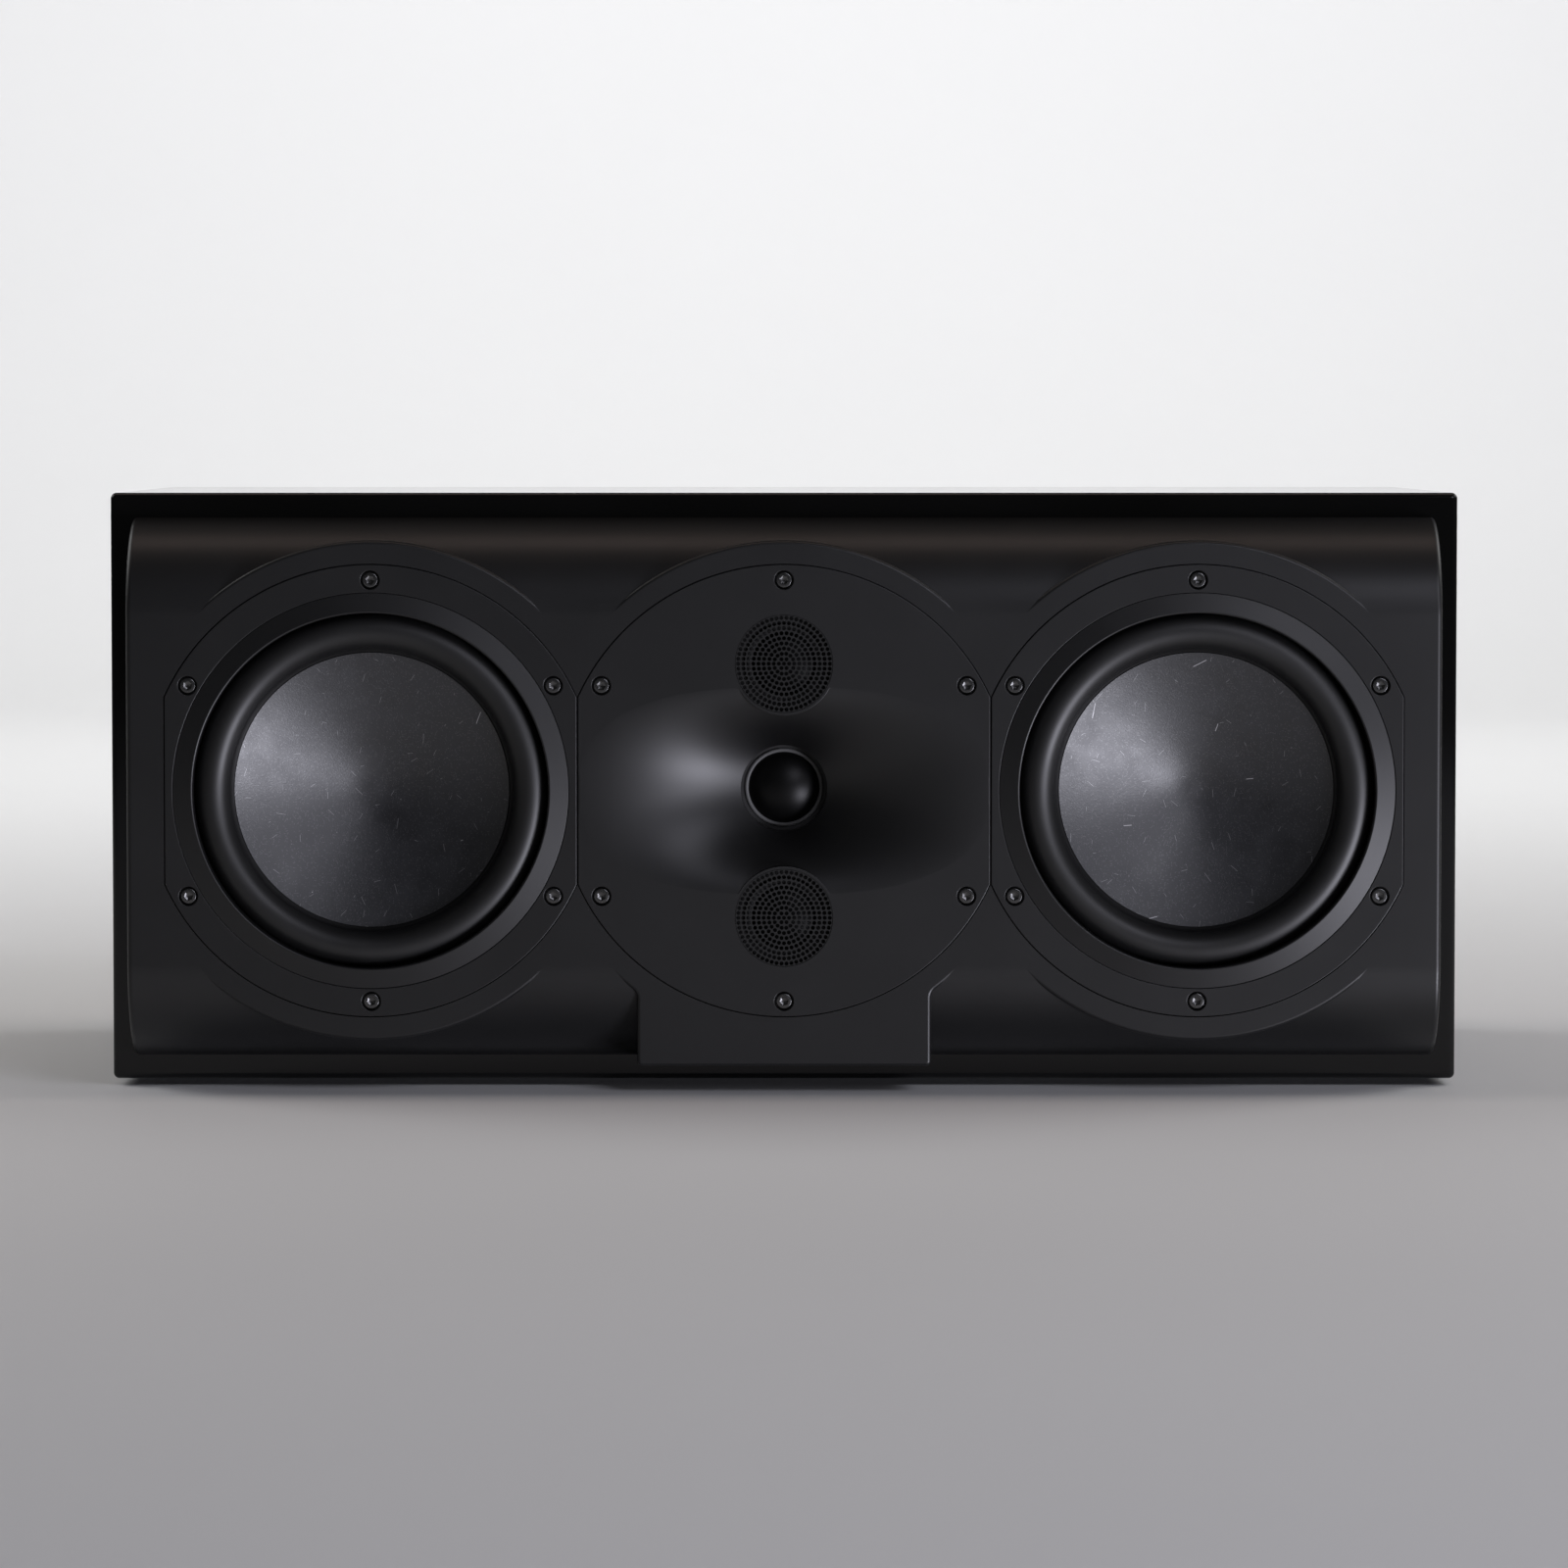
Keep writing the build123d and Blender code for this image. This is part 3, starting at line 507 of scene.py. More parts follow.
# %% [markdown]
# ## The cone's fibre sheet
# The cones are pressed from a dark sheet with loose pale fibres in it. Each fibre is a short line at its
# own angle. A Voronoi texture gives random cells: inside each, the place is turned by that cell's random
# number and tested against a thin box. Three sizes of cell give dense specks, short flecks and a few long
# fibres, whose lengths and widths are shares of a cell. They are paler than the sheet, and a thin clear
# coat over them makes them glint in the light.

# %% A node group for flecks
def fleck_group():
    """A mask of short straight fibres, one in some of the cells of a random grid."""
    group, inputs, out = shader_group(
        "fibre_flecks",
        {"Cells per metre": 150.0, "Half length": 0.20, "Half width": 0.01, "Share": 0.4},
        ("Mask",),
    )
    face_on = node(group, "ShaderNodeMapping", Vector=object_place(group), Rotation=(radians(-90), 0, 0))
    scaled = vector_node(group, "MULTIPLY", face_on.outputs[0], inputs["Cells per metre"])["Vector"]
    cells = node(group, "ShaderNodeTexVoronoi", voronoi_dimensions="2D", Vector=scaled, Scale=1.0)
    offset = vector_node(group, "SUBTRACT", scaled, cells.outputs["Position"])["Vector"]
    chance = node(group, "ShaderNodeSeparateColor", Color=cells.outputs["Color"]).outputs
    angle = math_node(group, "MULTIPLY", chance["Red"], 2 * pi)
    turn = node(group, "ShaderNodeVectorRotate", rotation_type="Z_AXIS", Vector=offset, Angle=angle)
    parts = node(group, "ShaderNodeSeparateXYZ", Vector=turn.outputs[0]).outputs
    length = math_node(group, "MULTIPLY", inputs["Half length"], chance["Green"])
    inside = math_node(group, "LESS_THAN", math_node(group, "ABSOLUTE", parts["X"]), length)
    edge = math_node(group, "DIVIDE", math_node(group, "ABSOLUTE", parts["Y"]), inputs["Half width"])
    line = math_node(group, "MULTIPLY", inside, math_node(group, "SUBTRACT", 1.0, edge, clamp=True))
    picked = math_node(group, "LESS_THAN", chance["Blue"], inputs["Share"])
    feed_named(group, out, Mask=math_node(group, "MULTIPLY", line, picked))
    return group


fibre_flecks = fleck_group()
print("group:", fibre_flecks.name)

# %% The cone's finish
FIBRES = {
    "specks": {"Cells_per_metre": 1000, "Half_length": 0.55, "Half_width": 0.16, "Share": 0.50},
    "flecks": {"Cells_per_metre": 230, "Half_length": 0.50, "Half_width": 0.022, "Share": 0.16},
    "fibres": {"Cells_per_metre": 50, "Half_length": 0.21, "Half_width": 0.0095, "Share": 0.22},
}
FIBRE_PALE = {"specks": 0.05, "flecks": 0.36, "fibres": 0.9}
FIBRE_GLINT = {"specks": 0.34, "flecks": 1.0, "fibres": 0.71}
FIBRE_TONE = (0.42, 0.41, 0.42)
SHEET_TONES = (0.0022, 0.0025, 0.0038), (0.0062, 0.0068, 0.0095)


def cone_sheet():
    """Dark graphite sheet with a clouded tone, and the three sizes of fibre in it."""
    material, tree, shader = blank("graphite_cone")
    tooth = tooth_node(tree, grain=1500, shine=0.47, change=0.20, cloud=90)
    tone, glint = mixed(tree, *SHEET_TONES, tooth["Cloud"]), 0.0
    for title, sizes in FIBRES.items():
        mask = node(tree, "ShaderNodeGroup", node_tree=fibre_flecks, **sizes).outputs["Mask"]
        tone = mixed(tree, tone, FIBRE_TONE, math_node(tree, "MULTIPLY", mask, FIBRE_PALE[title]))
        glint = math_node(tree, "ADD", glint, math_node(tree, "MULTIPLY", mask, FIBRE_GLINT[title]))
    normal = bumped(tree, tooth["Height"], strength=0.5, distance=1.3e-4)
    feed_named(tree, shader, Base_Color=tone, Roughness=tooth["Roughness"], Normal=normal, IOR=1.75)
    feed_named(tree, shader, Coat_Weight=glint, Coat_IOR=1.95, Coat_Roughness=0.45)
    return material


graphite = cone_sheet()
print("cone finish:", graphite.name)

# %% [markdown]
# ## The cabinet
# The box is built of thick board, lacquered over every joint, so it reads as one block with small round
# edges. A stack of rounded rectangles makes the block. The inside, the driver cut-outs and the terminal
# opening are then cut, so that the mesh is the same hollow box as the solid.

# %% Cabinet shell
PANEL = 18
CABINET_EDGE = 2.4
CUTOUT = 78
TERMINAL_CUT = (80, 40)
TERMINAL_CORNER = 8
CLEAR = 1


def cabinet_block():
    """A rounded rectangle through the cabinet's depth, with its front and back edges rounded too."""
    rows = []
    for inset, drop in soft_edge(CABINET_EDGE, CORNER_STEPS):
        corner = max(CABINET_EDGE - inset, MERGE)
        rows.append((rounded_rectangle(cabinet_width - 2 * inset, cabinet_height - 2 * inset, corner), drop))
    loops = [(outline, cabinet_front + drop) for outline, drop in rows]
    loops += [(outline, cabinet_back - drop) for outline, drop in reversed(rows)]
    return skin("cabinet", loops)


cabinet = cabinet_block()
hollow = rounded_rectangle(cabinet_width - 2 * PANEL, cabinet_height - 2 * PANEL, MERGE, 1)
openings = [pushed("inside", hollow, cabinet_front + PANEL, cabinet_back - PANEL)]
for across in DRIVERS.values():
    openings.append(drum(CUTOUT, cabinet_front - CLEAR, cabinet_front + PANEL + CLEAR, across))
terminal_cut = rounded_rectangle(*TERMINAL_CUT, TERMINAL_CORNER)
openings.append(pushed("terminal_opening", terminal_cut, cabinet_back - PANEL - CLEAR, cabinet_back + CLEAR))
combine(cabinet, "DIFFERENCE", *openings)
hand_over(polish(cabinet), gloss_lacquer, "enclosure", "black_gloss_lacquer", "cabinet_shell")

# %% [markdown]
# ## The shaped front
# The front is one thick slab whose upper and lower edges roll away in a large radius. Three flat discs
# stand out of those curves, flush with the front, and the middle one runs down into a tab. The slab is a
# stack of its own section along the width; the discs are joined to it, and the drivers' recess is cut.

# %% The slab
FLAT_HALF = 70.5
ROUNDOVER = 40
END_EDGE = 2
ROUND_STEPS = 48
front_width = (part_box("front_baffle")[1].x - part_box("front_baffle")[0].x) / MM
slab_half = FLAT_HALF + sqrt(ROUNDOVER**2 - (ROUNDOVER - cabinet_front) ** 2)


def slab_section(inset):
    """The slab's section as (depth, up) points, drawn in by an inset on its rounded side."""
    radius = ROUNDOVER - inset
    last = atan(sqrt(radius**2 - (ROUNDOVER - cabinet_front) ** 2) / (ROUNDOVER - cabinet_front))
    turns = [last * i / ROUND_STEPS for i in range(ROUND_STEPS + 1)]
    upper = [(ROUNDOVER - radius * cos(a), FLAT_HALF + radius * sin(a)) for a in turns]
    return upper + [(depth, -up) for depth, up in reversed(upper)]


def front_slab():
    """The slab, stacked along the width with rounded ends."""
    stations = [(-front_width / 2 + drop, inset) for inset, drop in soft_edge(END_EDGE)]
    stations += [(-across, inset) for across, inset in reversed(stations)]
    loops = [(slab_section(inset), across) for across, inset in stations]
    return skin("slab", loops, at=lambda depth, up, across: placed(across, up, depth))


front = front_slab()
print(f"front {front_width:.1f} mm wide, {2 * slab_half:.1f} mm high")

# %% Outlines of the discs and the tab
BOSS_RADIUS = 101
BOSS_EDGE = 1.5
TAB_HALF = 59.5
TAB_BLEND = 4.5
TAB_CORNER = 2
TAB_DROP = 1.4


def flat_sided(radius, left, right, across=0.0, steps=TURN_STEPS // 2):
    """A circle whose sides are cut off flat at two distances from a driver's axis."""
    lean_right, lean_left = (degrees(acos(min(stop / radius, 1))) for stop in (right, left))
    upper = arc((across, 0), radius, lean_right, 180 - lean_left, steps)
    lower = arc((across, 0), radius, 180 + lean_left, 360 - lean_right, steps)
    return upper + lower


def raised(name, outline_at, edge, depth):
    """A disc of any outline that drops back from the front plane, with a rounded front edge."""
    loops = [(outline_at(inset), drop) for inset, drop in soft_edge(edge)]
    return skin(name, loops + [(outline_at(0), depth)])


def boss(left, right, across):
    """A flat disc about a woofer, cut off flat where the front ends."""
    def outline(inset):
        return flat_sided(BOSS_RADIUS - inset, left - inset, right - inset, across)

    return raised("boss", outline, BOSS_EDGE, cabinet_front)


def tab_outline(inset):
    """The middle disc with its tab, drawn in by an inset."""
    radius, half, low = BOSS_RADIUS - inset, TAB_HALF - inset, slab_half + TAB_DROP - inset
    blend, corner = TAB_BLEND + inset, max(TAB_CORNER - inset, MERGE)
    across = half + blend
    up = -sqrt((radius + blend) ** 2 - across**2)
    lean = degrees(atan(-up / across))
    right = arc((across, up), blend, 180 - lean, 180, EDGE_STEPS)
    right += arc((half - corner, -low + corner), corner, 0, -90, EDGE_STEPS)
    left = [(-x, z) for x, z in reversed(right)]
    return right + left + arc((0, 0), radius, 180 + lean, -lean, TURN_STEPS)[1:-1]


end_limit = front_width / 2 - END_EDGE - driver_pitch
print(f"the outer discs end {end_limit:.1f} mm from their drivers' axes")

# %% Join and cut the front
RECESS = 5
FLANGE_RADIUS = 91.5
FLANGE_FLAT = 83.3
FLANGE_GAP = 0.25
BAFFLE_HOLE = 80.5
bosses = [boss(end_limit, BOSS_RADIUS, -driver_pitch), boss(BOSS_RADIUS, end_limit, driver_pitch)]
combine(front, "UNION", *bosses, raised("tabbed_boss", tab_outline, BOSS_EDGE, cabinet_front))
recess_flat, recess_round = FLANGE_FLAT + FLANGE_GAP, FLANGE_RADIUS + FLANGE_GAP
recesses = [
    flat_sided(recess_round, recess_flat, recess_round, -driver_pitch),
    flat_sided(recess_round, recess_round, recess_flat, driver_pitch),
    flat_sided(recess_round, recess_round, recess_round),
]
combine(front, "DIFFERENCE", *[pushed("recess", outline, -CLEAR, RECESS) for outline in recesses])
holes = [drum(BAFFLE_HOLE, -CLEAR, cabinet_front + CLEAR, across) for across in DRIVERS.values()]
combine(front, "DIFFERENCE", *holes)
hand_over(polish(front), satin_lacquer, "enclosure", "black_satin_lacquer", "front_baffle")

# %% [markdown]
# ## Woofer baskets
# Each woofer hangs on a cast basket. Only its flange shows: a disc with flat sides, so that three drivers
# can stand side by side, with counterbored holes for the screws. The tub behind it has windows between
# its spokes. The counterbore tool has a small flare at its mouth, which leaves a rounded rim.

# %% Flanges
FLANGE_EDGE = 0.45
SCREW_COUNT = 6
SCREW_CIRCLE = 85.2
COUNTERBORE = 3.85
COUNTERBORE_DEPTH = 3.7
SHANK_HOLE = 2.1
RIM_EDGE = 0.3
HOLE_STEPS = 48


def mouth(radius, steps=4):
    """The flare of a hole's mouth, which leaves a rounded rim."""
    return [(radius + inset, drop) for inset, drop in soft_edge(RIM_EDGE, steps)]


def screw_hole(across, up):
    """A counterbore with a rounded mouth and a hole for the shank, as a solid to cut with."""
    end = RECESS + CLEAR
    section = [(0, -CLEAR), (COUNTERBORE + RIM_EDGE, -CLEAR), *mouth(COUNTERBORE)]
    section += [(COUNTERBORE, COUNTERBORE_DEPTH), (SHANK_HOLE, COUNTERBORE_DEPTH)]
    section += [(SHANK_HOLE, end), (0, end)]
    return turned("hole", section, across, up, HOLE_STEPS)


def screw_places(across):
    """The middles of a driver's screws."""
    turns = [pi / 2 + 2 * pi * k / SCREW_COUNT for k in range(SCREW_COUNT)]
    return [(across + SCREW_CIRCLE * cos(a), SCREW_CIRCLE * sin(a)) for a in turns]


def flange(name, across):
    """The flat-sided disc with its six counterbored holes."""
    def outline(inset):
        return flat_sided(FLANGE_RADIUS - inset, FLANGE_FLAT - inset, FLANGE_FLAT - inset, across)

    disc = raised(name, outline, FLANGE_EDGE, RECESS)
    return combine(disc, "DIFFERENCE", gather("holes", *[screw_hole(x, z) for x, z in screw_places(across)]))


print(SCREW_COUNT, "screws on a circle of", 2 * SCREW_CIRCLE, "mm")

# %% Baskets
TRIM_SEAT = 80.1
TRIM_BORE = 77.1
TRIM_SHOULDER = 1.6
TUB = 79.5
LANDING = 72
SEAT_DEPTH = 10.2
LANDING_BACK = 13.2
WAIST = (54, 44)
LEDGE_INNER, LEDGE_OUTER, LEDGE_DEPTH = 44, 50, 38
BASE_BORE, BASE_FRONT, BASE_BACK = 23, 53, 57
WINDOWS = 6
WINDOW = (16.5, 34.5)
WINDOW_ANGLE = 20


def tub(across):
    """The basket's tub, with a window between each two spokes."""
    shell = turned("tub", [
        (TUB, RECESS), (TUB, LANDING_BACK), WAIST, (WAIST[0], BASE_BACK), (BASE_BORE, BASE_BACK),
        (BASE_BORE, BASE_FRONT), (LEDGE_INNER, BASE_FRONT), (LEDGE_INNER, LEDGE_DEPTH),
        (LEDGE_OUTER, LEDGE_DEPTH), (LANDING, LANDING_BACK), (LANDING, SEAT_DEPTH), (TRIM_BORE, SEAT_DEPTH),
        (TRIM_BORE, RECESS),
    ], across)
    slope = tan(radians(WINDOW_ANGLE))
    corners = [(r, s * r * slope) for r, s in ((LEDGE_INNER, -1), (TUB, -1), (TUB, 1), (LEDGE_INNER, 1))]
    windows = []
    for k in range(WINDOWS):
        a = 2 * pi * k / WINDOWS
        outline = [(across + x * cos(a) - z * sin(a), x * sin(a) + z * cos(a)) for x, z in corners]
        windows.append(pushed("window", outline, *WINDOW))
    return combine(shell, "DIFFERENCE", gather("windows", *windows))


def basket(side, across):
    """A woofer's flange with the seat for its trim ring, and the tub behind."""
    disc = flange(f"{side}_woofer_flange", across)
    seat = [(0, -CLEAR), (TRIM_SEAT + RIM_EDGE, -CLEAR), *mouth(TRIM_SEAT)]
    seat += [(TRIM_SEAT, TRIM_SHOULDER), (TRIM_BORE, TRIM_SHOULDER)]
    seat += [(TRIM_BORE, RECESS + CLEAR), (0, RECESS + CLEAR)]
    combine(disc, "DIFFERENCE", turned("seat", seat, across))
    whole = polish(gather(f"{side}_basket", disc, tub(across)))
    hand_over(whole, satin_casting, "enclosure", "black_satin_casting", f"{side}_woofer_basket")


for side, across in SIDES.items():
    basket(side, across)

# %% [markdown]
# ## Trim rings, surrounds and cones
# A moulded trim ring covers the surround's glued edge and rises to a lip at its inner edge. Inside it the
# half roll of rubber carries the dished cone. These are turned pieces, drawn as half sections.

# %% Handing over the surrounds and rolls
def smooth_step(low, high, value):
    """From 0 to 1 between two values, level at both ends."""
    t = min(max((value - low) / (high - low), 0), 1)
    return t * t * (3 - 2 * t)


def flexes(piece):
    """Bake a round piece's place into its mesh."""
    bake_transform(piece)


def hand_over_flexing(piece, material, node_name, inner, outer):
    """Give a bending piece its finish, and hide the solid that it stands for."""
    piece.data.materials.append(material)
    flexes(piece)
    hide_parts(node_name)
    made.append(piece)
    print(f"{piece.name}: bends between {inner:.1f} and {outer:.1f} mm")


print("half way in, a bending piece follows by", smooth_step(0, 2, 1))

# %% The cone's section
CONE_RIM = (55.6, 9)
CONE_LEAN = (13.0, 26.5)
CONE_HOLLOW = 7
CONE_SHEET = 0.8
CONE_STEPS = 56
FORMER = 19.3
NECK = (1, 6)


def cone_profile():
    """The dished front as (radius, depth) points from its rim in, steeper towards the rim."""
    stride = CONE_RIM[0] / CONE_STEPS
    points = [CONE_RIM]
    for k in range(CONE_STEPS):
        radius = CONE_RIM[0] - (k + 0.5) * stride
        lean = CONE_LEAN[0] + (CONE_LEAN[1] - CONE_LEAN[0]) * radius / CONE_RIM[0]
        lean *= 1 - exp(-((radius / CONE_HOLLOW) ** 2))
        points.append((radius - stride / 2, points[-1][1] + stride * tan(radians(lean))))
    return points


cone_front = cone_profile()


def cone_back(radius):
    """Depth of the cone's back at a radius."""
    place = (CONE_RIM[0] - radius) / CONE_RIM[0] * CONE_STEPS
    k = min(max(int(place), 0), CONE_STEPS - 1)
    near, far = cone_front[k], cone_front[k + 1]
    return near[1] + (far[1] - near[1]) * (place - k) + CONE_SHEET


def cone(side, across):
    """The cone's sheet with the neck that takes the voice coil's former."""
    neck = FORMER + NECK[0]
    neck_foot = cone_back(FORMER) + NECK[1]
    behind = [(r, d + CONE_SHEET) for r, d in reversed(cone_front)]
    back = [p for p in behind if p[0] < FORMER]
    back += [(FORMER, cone_back(FORMER)), (FORMER, neck_foot), (neck, neck_foot), (neck, cone_back(neck))]
    back += [p for p in behind if p[0] > neck]
    piece = polish(turned(f"{side}_cone", cone_front + back, across))
    hand_over(piece, graphite, f"{side}_woofer_diaphragm", "graphite_cone", f"{side}_woofer_cone")


print(f"cone {cone_front[-1][1] - cone_front[0][1]:.1f} mm deep")

# %% Turned woofer pieces
LIP = (71.8, -2)
LIP_EDGE = 0.7
TRIM_OUTER = 80
TRIM_BODY = 77
TRIM_DEPTH = 9.2
TRIM_EDGE = 0.25
TRIM_FOOT_EDGE = 0.5
ROLL_MIDDLE = (64.4, 7.7)
ROLL = 7.2
ROLL_STEPS = 40
RUBBER = 1
GLUE_END = 49
SURROUND_LIP = 76.6


def trim_ring(side, across):
    """The ring over the surround's edge, with its raised lip."""
    section = softened([
        (*LIP, LIP_EDGE), (TRIM_OUTER, 0, TRIM_EDGE), (TRIM_OUTER, TRIM_SHOULDER, 0),
        (TRIM_BODY, TRIM_SHOULDER, 0), (TRIM_BODY, TRIM_DEPTH, 0), (LIP[0], TRIM_DEPTH, TRIM_FOOT_EDGE),
    ])
    piece = polish(turned(f"{side}_trim_ring", section, across))
    hand_over(piece, satin_moulding, "enclosure", "black_satin_moulding", f"{side}_woofer_trim_ring")


def surround(side, across):
    """The half roll of rubber, glued under the cone and clamped below the trim ring."""
    over = arc(ROLL_MIDDLE, ROLL, 360, 180, ROLL_STEPS)
    under = arc(ROLL_MIDDLE, ROLL - RUBBER, 180, 360, ROLL_STEPS)
    foot = cone_back(CONE_RIM[0])
    glue = [(CONE_RIM[0], foot), (GLUE_END, cone_back(GLUE_END)), (GLUE_END, cone_back(GLUE_END) + RUBBER)]
    glue.append((CONE_RIM[0] + RUBBER, foot + RUBBER))
    rim = [(under[-1][0], SEAT_DEPTH), (SURROUND_LIP, SEAT_DEPTH)]
    rim += [(SURROUND_LIP, TRIM_DEPTH), (over[0][0], TRIM_DEPTH)]
    piece = polish(turned(f"{side}_surround", over + glue + under + rim, across))
    hand_over_flexing(
        piece, rubber,
        f"{side}_woofer_surround", over[-1][0], over[0][0],
    )


for side, across in SIDES.items():
    trim_ring(side, across)
    surround(side, across)
    cone(side, across)

# %% [markdown]
# ## The waveguide plate
# Between the woofers sits one moulded plate. Its middle sinks in a wide, low horn that steers the sound of
# the dome. Every section across it is a rounded outline: a circle at the throat, then wider and a little
# squarer, until the mouth runs out almost level with the plate. A stack of such outlines is the hollow,
# cut from the plate. Two thin round rims then stand in the dish for the grilles.

# %% The horn's hollow
THROAT = 17.6
THROAT_END = 29
HORN_DEPTH = 20
HORN_HALF = (83, 43)
HORN_CURVE = 2.25
HORN_STEEP = 1.9
HORN_SQUARE = 2.6
HORN_OVER = 0.03
HORN_STEPS = 60


def ellipse(half_width, half_height, square=2, steps=TURN_STEPS):
    """An ellipse, or a squarer one with a higher power than 2."""
    points = []
    for i in range(steps):
        across, up = cos(2 * pi * i / steps), sin(2 * pi * i / steps)
        reach = (abs(across) ** square + abs(up) ** square) ** (-1 / square)
        points.append((half_width * across * reach, half_height * up * reach))
    return points


def horn_tool():
    """The hollow of the horn and its throat, from behind the throat to just past the mouth."""
    rise = HORN_DEPTH + HORN_OVER
    mouth_share = 1 - (HORN_OVER / rise) ** (1 / HORN_CURVE)
    loops = [(ellipse(THROAT, THROAT), THROAT_END + CLEAR)]
    for k in range(HORN_STEPS + 1):
        share = k / HORN_STEPS
        wide = THROAT + (HORN_HALF[0] - THROAT) * share / mouth_share
        high = THROAT + (HORN_HALF[1] - THROAT) * (1 - (1 - share) ** (HORN_CURVE / HORN_STEEP))
        square = 2 + (HORN_SQUARE - 2) * share
        loops.append((ellipse(wide, high, square), rise * (1 - share) ** HORN_CURVE - HORN_OVER))
    return skin("horn", loops)


print(f"horn {2 * HORN_HALF[0]} x {2 * HORN_HALF[1]} mm at its mouth, {HORN_DEPTH} mm deep")

# %% Waveguide plate
HORN_WALL = 3.5
HORN_SHARP = 30
THROAT_BOSS = 25
TUBE, TUBE_END = 22.5, 14
GRILLE_SEAT = 19.8
GRILLE_DEPTH = 1.1
GRILLE_RIM = 1.2
MID_BORE = 19.35
MID_SEAT = 9
MID_LIP_SEAT = 20


def bowl():
    """The horn's wall behind the plate."""
    wide = (HORN_HALF[0] + THROAT_BOSS) / 2 + 2 * HORN_WALL
    return skin("bowl", [
        (ellipse(wide, THROAT_BOSS + 2 * HORN_WALL), RECESS - CLEAR),
        (ellipse(THROAT_BOSS + HORN_WALL, THROAT_BOSS + HORN_WALL), HORN_DEPTH + HORN_WALL),
    ])


def grille_rim(up):
    """The thin round rim that stands in the dish round one grille."""
    def outline(inset):
        return ring(GRILLE_SEAT + GRILLE_RIM - inset, TURN_STEPS, 0, up)

    return raised("rim", outline, RIM_EDGE, MID_SEAT)


def seat_tool(up):
    """The stepped hole behind one grille, from the front down to the dome's seat."""
    end = TUBE_END + CLEAR
    section = [(0, -CLEAR), (GRILLE_SEAT, -CLEAR), (GRILLE_SEAT, GRILLE_DEPTH), (MID_BORE, GRILLE_DEPTH)]
    section += [(MID_BORE, MID_SEAT), (MID_LIP_SEAT, MID_SEAT), (MID_LIP_SEAT, end), (0, end)]
    return turned("seat", section, 0, up)


plate = flange("waveguide", 0)
tubes = [drum(TUBE, RECESS - CLEAR, TUBE_END, 0, up) for up in PLACES.values()]
combine(plate, "UNION", bowl(), drum(THROAT_BOSS, HORN_DEPTH, THROAT_END), *tubes)
combine(plate, "DIFFERENCE", horn_tool())
for up in PLACES.values():
    combine(plate, "UNION", grille_rim(up))
    combine(plate, "DIFFERENCE", seat_tool(up))
hand_over(polish(plate, HORN_SHARP), satin_moulding, "enclosure", "black_satin_moulding", "waveguide_plate")

# %% [markdown]
# ## Perforated grilles
# Each small dome sits behind a thin steel disc with nearly three hundred holes, in rings round its middle.
# Geometry Nodes suit that: a mesh circle for each ring gives the places, a small circle is put on every
# place, Fill Curve fills the sheet between all those outlines, and an extrusion gives it thickness.

# %% Helpers for Geometry Nodes
def geometry_tree(name, inputs):
    """An empty geometry tree with named inputs, and the sockets inside it."""
    tree = bpy.data.node_groups.new(name, "GeometryNodeTree")
    for title, (kind, value) in inputs.items():
        socket = tree.interface.new_socket(title, in_out="INPUT", socket_type=f"NodeSocket{kind}")
        if value is not None:
            socket.default_value = value
    tree.interface.new_socket("Geometry", in_out="OUTPUT", socket_type="NodeSocketGeometry")
    return tree, node(tree, "NodeGroupInput").outputs, node(tree, "NodeGroupOutput")


def joined(tree, *parts):
    """Several geometries as one."""
    join = node(tree, "GeometryNodeJoinGeometry")
    for part in parts:
        feed(tree, join.inputs[0], part)
    return join.outputs[0]


def grown(name, tree, values):
    """A plain mesh grown by a geometry tree with its named inputs set."""
    piece = new_piece(name, bpy.data.meshes.new(name))
    step = piece.modifiers.new(name, "NODES")
    step.node_group = tree
    for item in tree.interface.items_tree:
        if item.in_out == "INPUT" and item.name in values:
            step[item.identifier] = values[item.name]
    return bake(piece)


print("helpers for Geometry Nodes are ready")

# %% Geometry Nodes for the grilles
HOLE_PITCH = 2.06
HOLE_RADIUS = 0.84
HOLE_CORNERS = 12
HOLES_PER_RING = (3, 6, 14, 20, 26, 32, 38, 44, 52, 58)
GRILLE_RADIUS = 19.6
GRILLE_SINK = 0.3
GRILLE_SHEET = 0.8
SEAM = 1e-6


